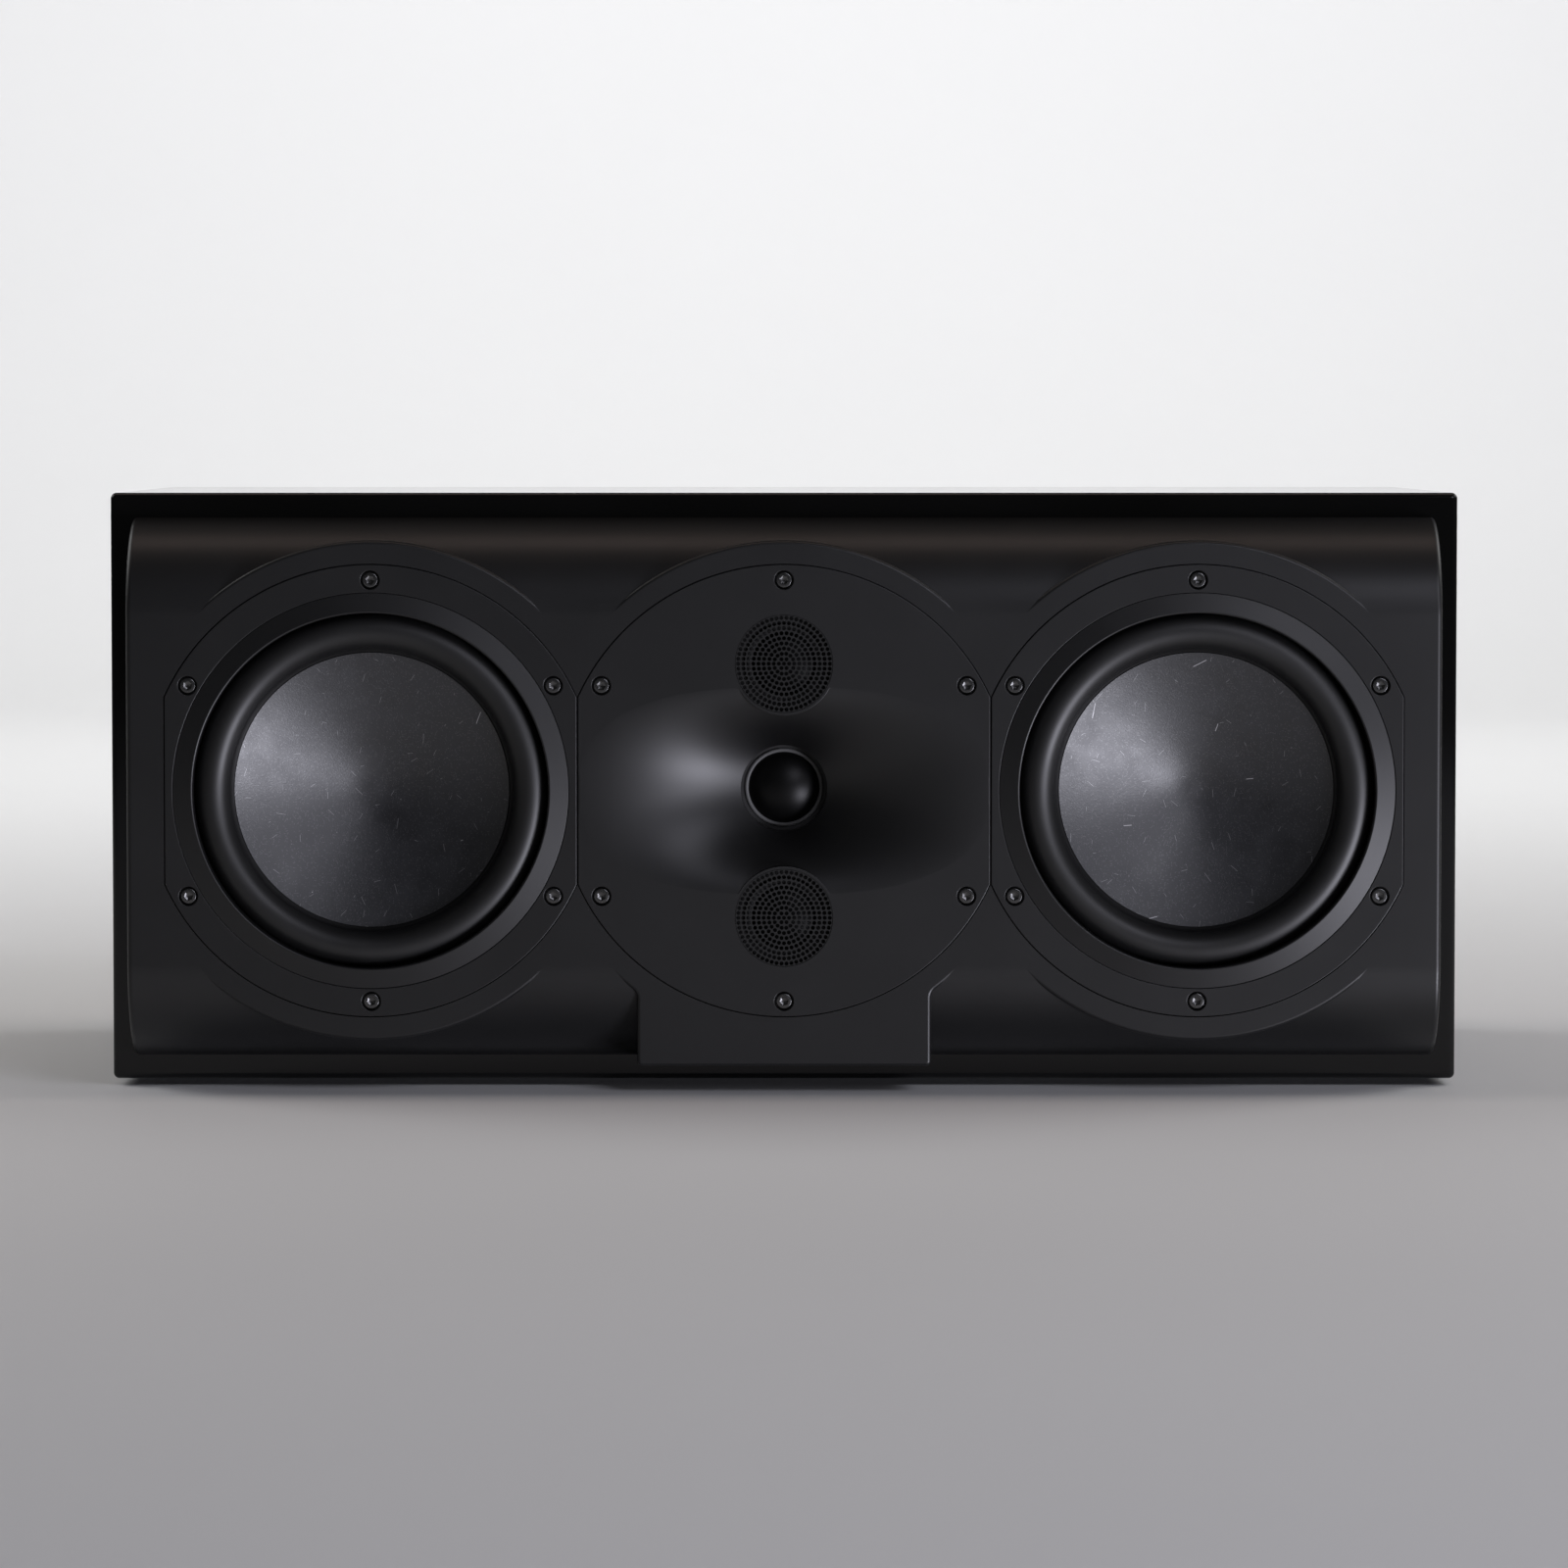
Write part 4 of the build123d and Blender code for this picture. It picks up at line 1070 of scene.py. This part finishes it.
def grille_tree():
    """A disc filled round rings of holes, then thickened to the back."""
    tree, inputs, out = geometry_tree("perforated_disc", {
        "Radius": ("Float", GRILLE_RADIUS * MM), "Pitch": ("Float", HOLE_PITCH * MM),
        "Hole": ("Float", HOLE_RADIUS * MM), "Thickness": ("Float", GRILLE_SHEET * MM),
        "Place": ("Vector", None), "Finish": ("Material", None),
    })
    rings = []
    for index, count in enumerate(HOLES_PER_RING):
        reach = math_node(tree, "MULTIPLY", inputs["Pitch"], max(index, MERGE))
        rings.append(node(tree, "GeometryNodeMeshCircle", Vertices=count, Radius=reach).outputs["Mesh"])
    merge, circle = "GeometryNodeMergeByDistance", "GeometryNodeCurvePrimitiveCircle"
    places = node(tree, merge, Geometry=joined(tree, *rings), Distance=HOLE_RADIUS * MM)
    hole = node(tree, circle, Resolution=HOLE_CORNERS, Radius=inputs["Hole"])
    copies = node(
        tree, "GeometryNodeInstanceOnPoints", Points=places.outputs[0], Instance=hole.outputs["Curve"]
    )
    holes = node(tree, "GeometryNodeRealizeInstances", Geometry=copies.outputs[0])
    edge = node(tree, circle, Resolution=TURN_STEPS, Radius=inputs["Radius"])
    outlines = joined(tree, edge.outputs["Curve"], holes.outputs[0])
    sheet = node(tree, "GeometryNodeFillCurve", Curve=outlines).outputs[0]
    thick = node(
        tree, "GeometryNodeExtrudeMesh", Mesh=sheet, Offset_Scale=inputs["Thickness"], Individual=False
    )
    back = node(tree, "GeometryNodeFlipFaces", Mesh=sheet)
    closed = node(
        tree, merge, Geometry=joined(tree, back.outputs[0], thick.outputs["Mesh"]), Distance=SEAM
    )
    stood = node(
        tree, "GeometryNodeTransform",
        Geometry=closed.outputs[0], Translation=inputs["Place"], Rotation=(radians(90), 0, 0),
    )
    dressed = node(
        tree, "GeometryNodeSetMaterial", Geometry=stood.outputs[0], Material=inputs["Finish"]
    )
    feed_named(tree, out, Geometry=dressed.outputs[0])
    return tree


perforated_disc = grille_tree()
for place, up in PLACES.items():
    values = {"Place": placed(0, up, GRILLE_SINK + GRILLE_SHEET), "Finish": grille_steel}
    disc = grown(f"{place}_perforated_disc", perforated_disc, values)
    hand_over(polish(disc), grille_steel, "enclosure", "black_grille_steel", f"{place}_grille")

# %% [markdown]
# ## Domes
# The tweeter and the two small units are the same idea at two sizes: a thin spherical cap, glued at its
# edge to a half roll of coated cloth that is clamped outside. The roll is handed over as the woofers' rubber
# is.

# %% Domes and their rolls
FILM = 0.4
DOME_BASE = 0.8
CAP_STEPS = 28
TWEETER = {"radius": 14.4, "height": 6.6, "roll": 1.7, "lip": 21.0}
MID = {"radius": 13.0, "height": 4.2, "roll": 3.2, "lip": 19.8}


def cap_points(base, foot, rise):
    """A spherical cap from its edge to its top, in the section."""
    ball = (base**2 + rise**2) / (2 * rise)
    last = asin(base / ball)
    turns = [last * (1 - k / CAP_STEPS) for k in range(CAP_STEPS + 1)]
    return [(ball * sin(a), foot - rise + ball * (1 - cos(a))) for a in turns]


def dome_unit(name, up, seat, radius, height, roll, lip):
    """A dome on its body, and the roll of cloth between it and its seat."""
    body = f"{name}_diaphragm"
    outside = cap_points(radius, seat, height)
    within = cap_points(radius - DOME_BASE, seat + FILM, height)
    dome = turned(f"{name}_cap", outside + within[::-1] + [(radius, seat + FILM)], 0, up)
    hand_over(polish(dome), dome_film, body, "black_dome", f"{name}_dome")
    crest = (radius + roll / 2, seat)
    over = arc(crest, roll / 2, 180, 360, CAP_STEPS)
    under = arc((crest[0], seat + FILM), roll / 2 - FILM, 360, 180, CAP_STEPS)
    section = over + [(lip, seat), (lip, seat + FILM)] + under + [(radius, seat + FILM)]
    cloth = polish(turned(f"{name}_roll", section, 0, up))
    hand_over_flexing(
        cloth, dome_cloth, f"{name}_surround", radius, radius + roll
    )


dome_unit("tweeter", 0, THROAT_END, **TWEETER)
for place, up in PLACES.items():
    dome_unit(f"{place}_mid", up, MID_SEAT, **MID)

# %% [markdown]
# ## Socket screws
# Six cap screws hold each driver, and four hold the terminal panel. One screw is skinned by hand: its head
# with a rounded edge, a hexagon socket and a shank. A geometry tree then puts copies on a ring of places,
# and turns each by its own random angle, because nobody lines up the sockets of real screws.

# %% One screw
HEAD, HEAD_HEIGHT, HEAD_EDGE = 3.25, 2.9, 0.6
HEAD_SINK = 0.8
SHANK, SHANK_LENGTH = 1.95, 18
SOCKET, SOCKET_DEPTH, SOCKET_EDGE = 1.85, 0.7, 0.12
HEX_STEPS = 72


def hexagon(radius, steps=HEX_STEPS):
    """A hexagon with as many points as a circle, so that both skin together."""
    points = []
    for i in range(steps):
        a = 2 * pi * i / steps
        lean = (a % (pi / 3)) - pi / 6
        reach = radius * cos(pi / 6) / cos(lean)
        points.append((reach * cos(a), reach * sin(a)))
    return points


def screw(name, head, height, shank, length, socket, floor, facing=1):
    """A cap screw whose head's top is at the origin. It faces the front, or the back with -1."""
    edge = [(ring(head - inset, HEX_STEPS), drop) for inset, drop in soft_edge(HEAD_EDGE)]
    hollow = [(MERGE, floor + socket / 2), (socket, floor), (socket, SOCKET_EDGE), (socket + SOCKET_EDGE, 0)]
    stem = [(head, height), (shank, height), (shank, height + length), (MERGE, height + length)]
    loops = [(hexagon(r), d) for r, d in hollow] + edge + [(ring(r, HEX_STEPS), d) for r, d in stem]
    return skin(name, loops, at=lambda x, z, depth: (x * MM, facing * depth * MM, z * MM))


flange_screw = screw("flange_screw", HEAD, HEAD_HEIGHT, SHANK, SHANK_LENGTH, SOCKET, SOCKET_DEPTH)
print("one screw:", len(flange_screw.data.polygons), "faces")

# %% Geometry Nodes for its copies
def copies_tree():
    """Copies of a screw on given places, each turned about its own axis at random."""
    tree, inputs, out = geometry_tree("screws_on_places", {
        "Places": ("Object", None), "Screw": ("Object", None),
        "Seed": ("Int", 1), "Finish": ("Material", None),
    })
    places = node(tree, "GeometryNodeObjectInfo", Object=inputs["Places"])
    copy = node(tree, "GeometryNodeObjectInfo", Object=inputs["Screw"])
    turn = node(
        tree, "FunctionNodeRandomValue", data_type="FLOAT_VECTOR", Max=(0, pi / 3, 0), Seed=inputs["Seed"]
    )
    copies = node(
        tree, "GeometryNodeInstanceOnPoints", Points=places.outputs["Geometry"],
        Instance=copy.outputs["Geometry"], Rotation=turn.outputs[0],
    )
    real = node(tree, "GeometryNodeRealizeInstances", Geometry=copies.outputs[0])
    dressed = node(tree, "GeometryNodeSetMaterial", Geometry=real.outputs[0], Material=inputs["Finish"])
    feed_named(tree, out, Geometry=dressed.outputs[0])
    return tree


screws_on_places = copies_tree()


def screw_set(name, node_name, sample, points, seed):
    """Copies of a screw on points, as one piece."""
    mesh = bpy.data.meshes.new(f"{name}_places")
    mesh.from_pydata([placed(*p) for p in points], [], [])
    places = new_piece(mesh.name, mesh)
    values = {"Places": places, "Screw": sample, "Seed": seed, "Finish": black_steel}
    group = grown(name, screws_on_places, values)
    bpy.data.meshes.remove(places.data)
    hand_over(polish(group), black_steel, "enclosure", "black_steel", node_name)


for seed, (name, across) in enumerate(DRIVERS.items()):
    points = [(x, z, HEAD_SINK) for x, z in screw_places(across)]
    screw_set(f"{name}_socket_screws", f"{name}_screws", flange_screw, points, seed)
bpy.data.meshes.remove(flange_screw.data)

# %% [markdown]
# ## The terminal panel
# On the back a moulded panel carries one pair of binding posts. Depths are still counted from the front
# plane, so the back starts at the cabinet's depth. The panel is a stack of rounded rectangles, drilled for
# the posts and for its four screws, which are the same kind as in front but face the other way.

# %% Panel and its screws
TERMINAL = (120, 80)
PANEL_THICK = 4
PANEL_EDGE = 1
PANEL_SCREW_INSET = 9
PANEL_HEAD, PANEL_HEAD_HEIGHT = 3.0, 2.2
PANEL_SHANK, PANEL_SHANK_LENGTH = 1.5, 14
PANEL_SOCKET, PANEL_SOCKET_DEPTH = 1.2, 1.1
POSTS = {"red": 22, "black": -22}
STUD = 4
SOFT = 0.3
terminal_up = (middle("terminal_panel", UP) - axis_z) / MM
panel_top = cabinet_back + PANEL_THICK
panel_half = [size / 2 - PANEL_SCREW_INSET for size in TERMINAL]
panel_places = [(sx * panel_half[0], terminal_up + sz * panel_half[1]) for sx in (-1, 1) for sz in (-1, 1)]


def panel_outline(inset):
    """The panel's rounded rectangle, drawn in by an inset."""
    outline = rounded_rectangle(TERMINAL[0] - 2 * inset, TERMINAL[1] - 2 * inset, TERMINAL_CORNER - inset)
    return [(x, z + terminal_up) for x, z in outline]


def terminal_panel():
    """The panel with its rounded edge and its drilled holes."""
    loops = [(panel_outline(0), cabinet_back)]
    loops += [(panel_outline(inset), panel_top - drop) for inset, drop in reversed(soft_edge(PANEL_EDGE))]
    holes = [(STUD, across, terminal_up) for across in POSTS.values()]
    holes += [(PANEL_SHANK, across, up) for across, up in panel_places]
    near, far = cabinet_back - CLEAR, panel_top + CLEAR
    drills = [drum(radius + SOFT, near, far, across, up) for radius, across, up in holes]
    return combine(skin("terminal_plate", loops), "DIFFERENCE", *drills)


hand_over(polish(terminal_panel()), panel_moulding, "enclosure", "terminal_moulding", "terminal_panel")
panel_screw = screw(
    "panel_screw", PANEL_HEAD, PANEL_HEAD_HEIGHT, PANEL_SHANK, PANEL_SHANK_LENGTH,
    PANEL_SOCKET, PANEL_SOCKET_DEPTH, facing=-1,
)
points = [(x, z, panel_top + PANEL_HEAD_HEIGHT) for x, z in panel_places]
screw_set("panel_socket_screws", "terminal_screws", panel_screw, points, len(DRIVERS))
bpy.data.meshes.remove(panel_screw.data)

# %% [markdown]
# ## Binding posts
# Each post is a threaded stud with a collar, a loose washer and a fluted cap that screws down on the cable.
# The caps and washers move, so each rides on its own body. The thread is a row of grooves in the stud's
# turned section, and the flutes are drawn into the cap's outline, so that both are real geometry.

# %% Studs
STUD_LENGTH = 16
TAIL, TAIL_LENGTH = 2.5, 16
PLUG_BORE = 2
COLLAR, COLLAR_HEIGHT = 7, 4.5
THREAD_GROOVE = 0.3
THREADS = 10
collar_top = panel_top + COLLAR_HEIGHT
stud_top = collar_top + STUD_LENGTH


def stud(across):
    """One threaded post with its collar, tail and the bore for a plug."""
    pitch = (STUD_LENGTH - 2 * CLEAR) / THREADS
    thread = []
    for k in range(THREADS):
        start = collar_top + CLEAR + k * pitch
        thread += [(STUD, start), (STUD - THREAD_GROOVE, start + pitch / 2)]
    tail_end = cabinet_back - TAIL_LENGTH
    base = softened([
        (0, tail_end, 0), (TAIL, tail_end, SOFT), (TAIL, cabinet_back, 0), (STUD, cabinet_back, 0),
        (STUD, panel_top, 0), (COLLAR, panel_top, 0), (COLLAR, collar_top, SOFT), (STUD, collar_top, 0),
    ])
    tip = [(STUD, stud_top - SOFT), (STUD - SOFT, stud_top), (PLUG_BORE + SOFT, stud_top)]
    tip += [(PLUG_BORE, stud_top - SOFT), (PLUG_BORE, collar_top), (0, collar_top)]
    return turned("stud", base + thread + tip, across, terminal_up, HEX_STEPS)


posts = polish(gather("threaded_posts", *[stud(across) for across in POSTS.values()]))
hand_over(posts, plated_brass, "enclosure", "plated_brass", "terminal_studs")

# %% Washers and caps
WASHER, WASHER_THICK = 6.6, 1.2
CAP, CAP_LENGTH = 7.2, 16.7
CAP_WALL = 1.6
CAP_EDGE = 0.8
CAP_HOLE = 2.5
CAP_BORE = 4.3
FLUTES = 10
FLUTE, FLUTE_CIRCLE = 1.1, 7.75
FLUTE_STEPS = 20
CAP_FINISH = {"red": red_plastic, "black": black_plastic}
washer_top = collar_top + WASHER_THICK


def washer(colour, across):
    """A loose washer with a rounded outer edge."""
    section = softened([
        (CAP_BORE, collar_top, 0), (WASHER, collar_top, SOFT), (WASHER, washer_top, SOFT),
        (CAP_BORE, washer_top, 0),
    ])
    return turned(f"{colour}_clamp_washer", section, across, terminal_up, HEX_STEPS)


def fluted(radius, across):
    """A circle with round flutes cut into it."""
    points = []
    for i in range(FLUTES * FLUTE_STEPS):
        a = 2 * pi * i / (FLUTES * FLUTE_STEPS)
        lean = (a + pi / FLUTES) % (2 * pi / FLUTES) - pi / FLUTES
        aside = FLUTE_CIRCLE * sin(lean)
        cut = FLUTE_CIRCLE * cos(lean) - sqrt(max(FLUTE**2 - aside**2, 0))
        reach = min(radius, cut) if abs(aside) < FLUTE else radius
        points.append((across + reach * cos(a), terminal_up + reach * sin(a)))
    return points


def cap(colour, across):
    """A fluted cap with a rounded end, open towards the washer."""
    end = washer_top + CAP_LENGTH

    def plain(radius, depth):
        return (ring(radius, FLUTES * FLUTE_STEPS, across, terminal_up), depth)

    loops = [plain(CAP_BORE, washer_top), (fluted(CAP - SOFT, across), washer_top)]
    loops.append((fluted(CAP, across), washer_top + SOFT))
    loops += [(fluted(CAP - inset, across), end - drop) for inset, drop in reversed(soft_edge(CAP_EDGE))]
    loops += [plain(CAP_HOLE + SOFT, end), plain(CAP_HOLE, end - SOFT)]
    loops += [plain(CAP_HOLE, end - CAP_WALL), plain(CAP_BORE, end - CAP_WALL)]
    return skin(f"{colour}_fluted_cap", loops, closed=True)


for colour, across in POSTS.items():
    loose = polish(washer(colour, across))
    hand_over(loose, plated_brass, f"{colour}_post_washer", "plated_brass", f"{colour}_washer")
    knob = polish(cap(colour, across))
    hand_over(knob, CAP_FINISH[colour], f"{colour}_post_cap", f"{colour}_cap_plastic", f"{colour}_cap")

# %% [markdown]
# ## Feet
# Four low rubber discs keep the lacquer off the shelf. They are the same skins, stood upright.

# %% Rubber feet
FOOT, FOOT_HEIGHT = 15, 3
FOOT_EDGE = 0.8
FOOT_INSET = 55


def foot(x, y):
    """One foot under a place of the cabinet, with a rounded lower edge."""
    loops = [(ring(FOOT - inset, HEX_STEPS), drop) for inset, drop in soft_edge(FOOT_EDGE)]
    loops.append((ring(FOOT, HEX_STEPS), FOOT_HEIGHT))
    return skin("foot", loops, at=lambda across, along, h: (x + across * MM, y + along * MM, h * MM))


feet = []
for x in (cabinet_low.x + FOOT_INSET * MM, cabinet_high.x - FOOT_INSET * MM):
    for y in (cabinet_low.y + FOOT_INSET * MM, cabinet_high.y - FOOT_INSET * MM):
        feet.append(foot(x, y))
hand_over(polish(gather("soft_feet", *feet)), foot_rubber, "enclosure", "foot_rubber", "rubber_feet")

# %% [markdown]
# ## What stays as it is
# The motors, braces, pads and the crossover sit inside the closed box, so their solids stay and only get
# finishes. The recipe above makes most of them. Wound wire and crimped cloth repeat in rings, so those two
# read a Wave texture instead, which at scale 1 runs through 20 / (2 pi) bands in a metre.

# %% Finishes for the inner parts
BANDS_PER_METRE = 20 / (2 * pi)
zinc_steel = toothed(
    "zinc_steel", grey(0.42), grey(0.58), 0.34, 0.14, 900, 2e-5, cloud=120.0, Metallic=1.0
)
ferrite = toothed("ferrite", grey(0.020), grey(0.034), 0.62, 0.14, 1200, 1.2e-4)
fibreboard = toothed(
    "fibreboard", (0.30, 0.19, 0.10), (0.42, 0.28, 0.16), 0.82, 0.10, 1100, 2e-4, cloud=160.0
)
wadding = toothed("wadding", grey(0.46), grey(0.66), 0.95, 0.05, 420, 2e-3, cloud=90.0)
circuit_board = toothed(
    "circuit_board", (0.010, 0.075, 0.030), (0.016, 0.120, 0.046), 0.35, 0.10, 800, 3e-5
)
capacitor_film = toothed(
    "capacitor_film", (0.50, 0.26, 0.02), (0.62, 0.36, 0.04), 0.30, 0.10, 500, 2e-5
)


def ringed(name, dark, light, per_metre, shine, height, axis, **constants):
    """A finish with even bands along an axis, such as wound wire or crimped cloth."""
    material, tree, shader = blank(name)
    wave = node(
        tree, "ShaderNodeTexWave", wave_type="BANDS", bands_direction=axis,
        Vector=object_place(tree), Scale=per_metre / BANDS_PER_METRE, Distortion=0.4,
    )
    band = wave.outputs["Fac"]
    tone, normal = mixed(tree, dark, light, band), bumped(tree, band, strength=0.6, distance=height)
    feed_named(tree, shader, Base_Color=tone, Roughness=shine, Normal=normal, **constants)
    return material


copper_wire = ringed(
    "copper_wire", (0.36, 0.12, 0.05), (0.72, 0.33, 0.17), 2200, 0.28, 1e-4, "Y", Metallic=1.0
)
spider_cloth = ringed("spider_cloth", (0.30, 0.20, 0.09), (0.46, 0.33, 0.17), 900, 0.85, 2e-4, "X")
print("finishes:", len(bpy.data.materials))

# %% Dress the solids that stay
INNER = {
    "top_plate": zinc_steel, "yoke": zinc_steel, "magnet": ferrite, "voice_coil": copper_wire,
    "spider": spider_cloth, "brace": fibreboard, "damping_pads": wadding, "crossover_board": circuit_board,
    "crossover_coils": copper_wire, "crossover_capacitors": capacitor_film,
    "crossover_standoffs": black_plastic,
}
kept = 0
for name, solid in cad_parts.items():
    finish = next((material for ending, material in INNER.items() if name.endswith(ending)), None)
    if finish:
        solid.data.materials.clear()
        solid.data.materials.append(finish)
        kept += 1
print("solids that stay:", kept)

# %% [markdown]
# ## The stage
# The stage is one pale sheet that lies flat and sweeps up far behind the speaker. It casts no shadow of its
# own, like a translucent shooting table, so that a lamp below its level can shine through. The room is
# dim, so that the black front stays black.

# %% Sweep and room
FLOOR_HALF = 12.0
SWEEP_START = 3.4
SWEEP_RADIUS = 1.6
SWEEP_TOP = 2.4
SWEEP_STEPS = 32
ROOM_LIGHT = 0.045


def sweep_section():
    """The sheet's side view as (y, z) points."""
    bend = arc((SWEEP_START, SWEEP_RADIUS), SWEEP_RADIUS, -90, 0, SWEEP_STEPS)
    return [(-FLOOR_HALF, 0), *bend, (SWEEP_START + SWEEP_RADIUS, SWEEP_TOP)]


section = sweep_section()
points = [(side * FLOOR_HALF, y, z) for y, z in section for side in (-1, 1)]
faces = [(2 * i, 2 * i + 1, 2 * i + 3, 2 * i + 2) for i in range(len(section) - 1)]
sheet_mesh = bpy.data.meshes.new("sweep")
sheet_mesh.from_pydata(points, [], faces)
sheet_mesh.polygons.foreach_set("use_smooth", [True] * len(faces))
sheet = new_piece("sweep", sheet_mesh)
sweep_paper = toothed("sweep_paper", grey(0.80), grey(0.82), 0.80, 0.05, 400, 1e-5, cloud=2.0)
sheet_mesh.materials.append(sweep_paper)
sheet.visible_shadow = False
world = bpy.data.worlds.new("studio")
bpy.context.scene.world = world
world.use_nodes = True
world.node_tree.nodes["Background"].inputs["Color"].default_value = (*grey(ROOM_LIGHT), 1)
print("sheet:", len(faces), "faces")

# %% [markdown]
# ## Light and camera
# The light comes from softboxes. A large key stands low at the right, below the sheet's level, and draws
# the bright wedges in the cones and the light side of the horn. A weak fill stands higher, a warm strip
# overhead shows the rounded upper edge, and three more at the sides and behind light the sheet. The camera
# stands far in front with a long lens, so that the box shows hardly any of its top. It sees no lamp.

# %% Lamps and camera
CAMERA_AWAY = 2.711
CAMERA_HEIGHT = 0.270
LENS, SENSOR = 152.4, 36
AIM_UP = 0.001
COOL, WARM, WHITE = (0.88, 0.88, 1.0), (1.0, 0.80, 0.72), (1.0, 1.0, 1.0)
front_face = cabinet_low.y
front_middle = (0, front_face, axis_z)
LAMPS = {
    "key": {"at": (2.427, -2.426, -0.988), "to": front_middle, "size": (1.15, 1.15), "watts": 120.0},
    "fill": {"at": (1.181, -2.207, 1.431), "to": front_middle, "size": (1.2, 0.9), "watts": 15.0},
    "strip": {"at": (0, -0.05, 1.5), "to": (0, -0.05, 0), "size": (1.6, 0.20), "watts": 2.2},
    "left_side": {"at": (-1.7, 0.55, 1.3), "to": (0, 0.55, 0), "size": (1.6, 1.2), "watts": 14.0},
    "right_side": {"at": (1.7, 0.55, 1.3), "to": (0, 0.55, 0), "size": (1.6, 1.2), "watts": 14.0},
    "sweep_light": {"at": (0, 1.8, 2.8), "to": (0, 4.4, 1.2), "size": (3.0, 0.8), "watts": 112.0},
}
LAMP_COLOURS = {"key": COOL, "fill": COOL, "strip": WARM}


def point_at(thing, place, target):
    """Put a lamp or camera at a place, looking at a target."""
    thing.location = place
    thing.rotation_euler = (Vector(target) - thing.location).to_track_quat("-Z", "Y").to_euler()


for name, lamp in LAMPS.items():
    light = bpy.data.lights.new(name, "AREA")
    light.shape = "RECTANGLE"
    light.size, light.size_y = lamp["size"]
    light.energy, light.color = lamp["watts"], LAMP_COLOURS.get(name, WHITE)
    softbox = new_piece(name, light)
    point_at(softbox, lamp["at"], lamp["to"])
    softbox.visible_camera = False
camera = bpy.data.cameras.new("camera")
camera.lens, camera.sensor_width = LENS, SENSOR
viewer = new_piece("camera", camera)
point_at(viewer, (0, front_face - CAMERA_AWAY, CAMERA_HEIGHT), (0, front_face, axis_z + AIM_UP))
scene = bpy.context.scene
scene.camera = viewer
scene.view_settings.view_transform = "Standard"
print("camera", CAMERA_AWAY, "m in front,", len(made), "pieces made")
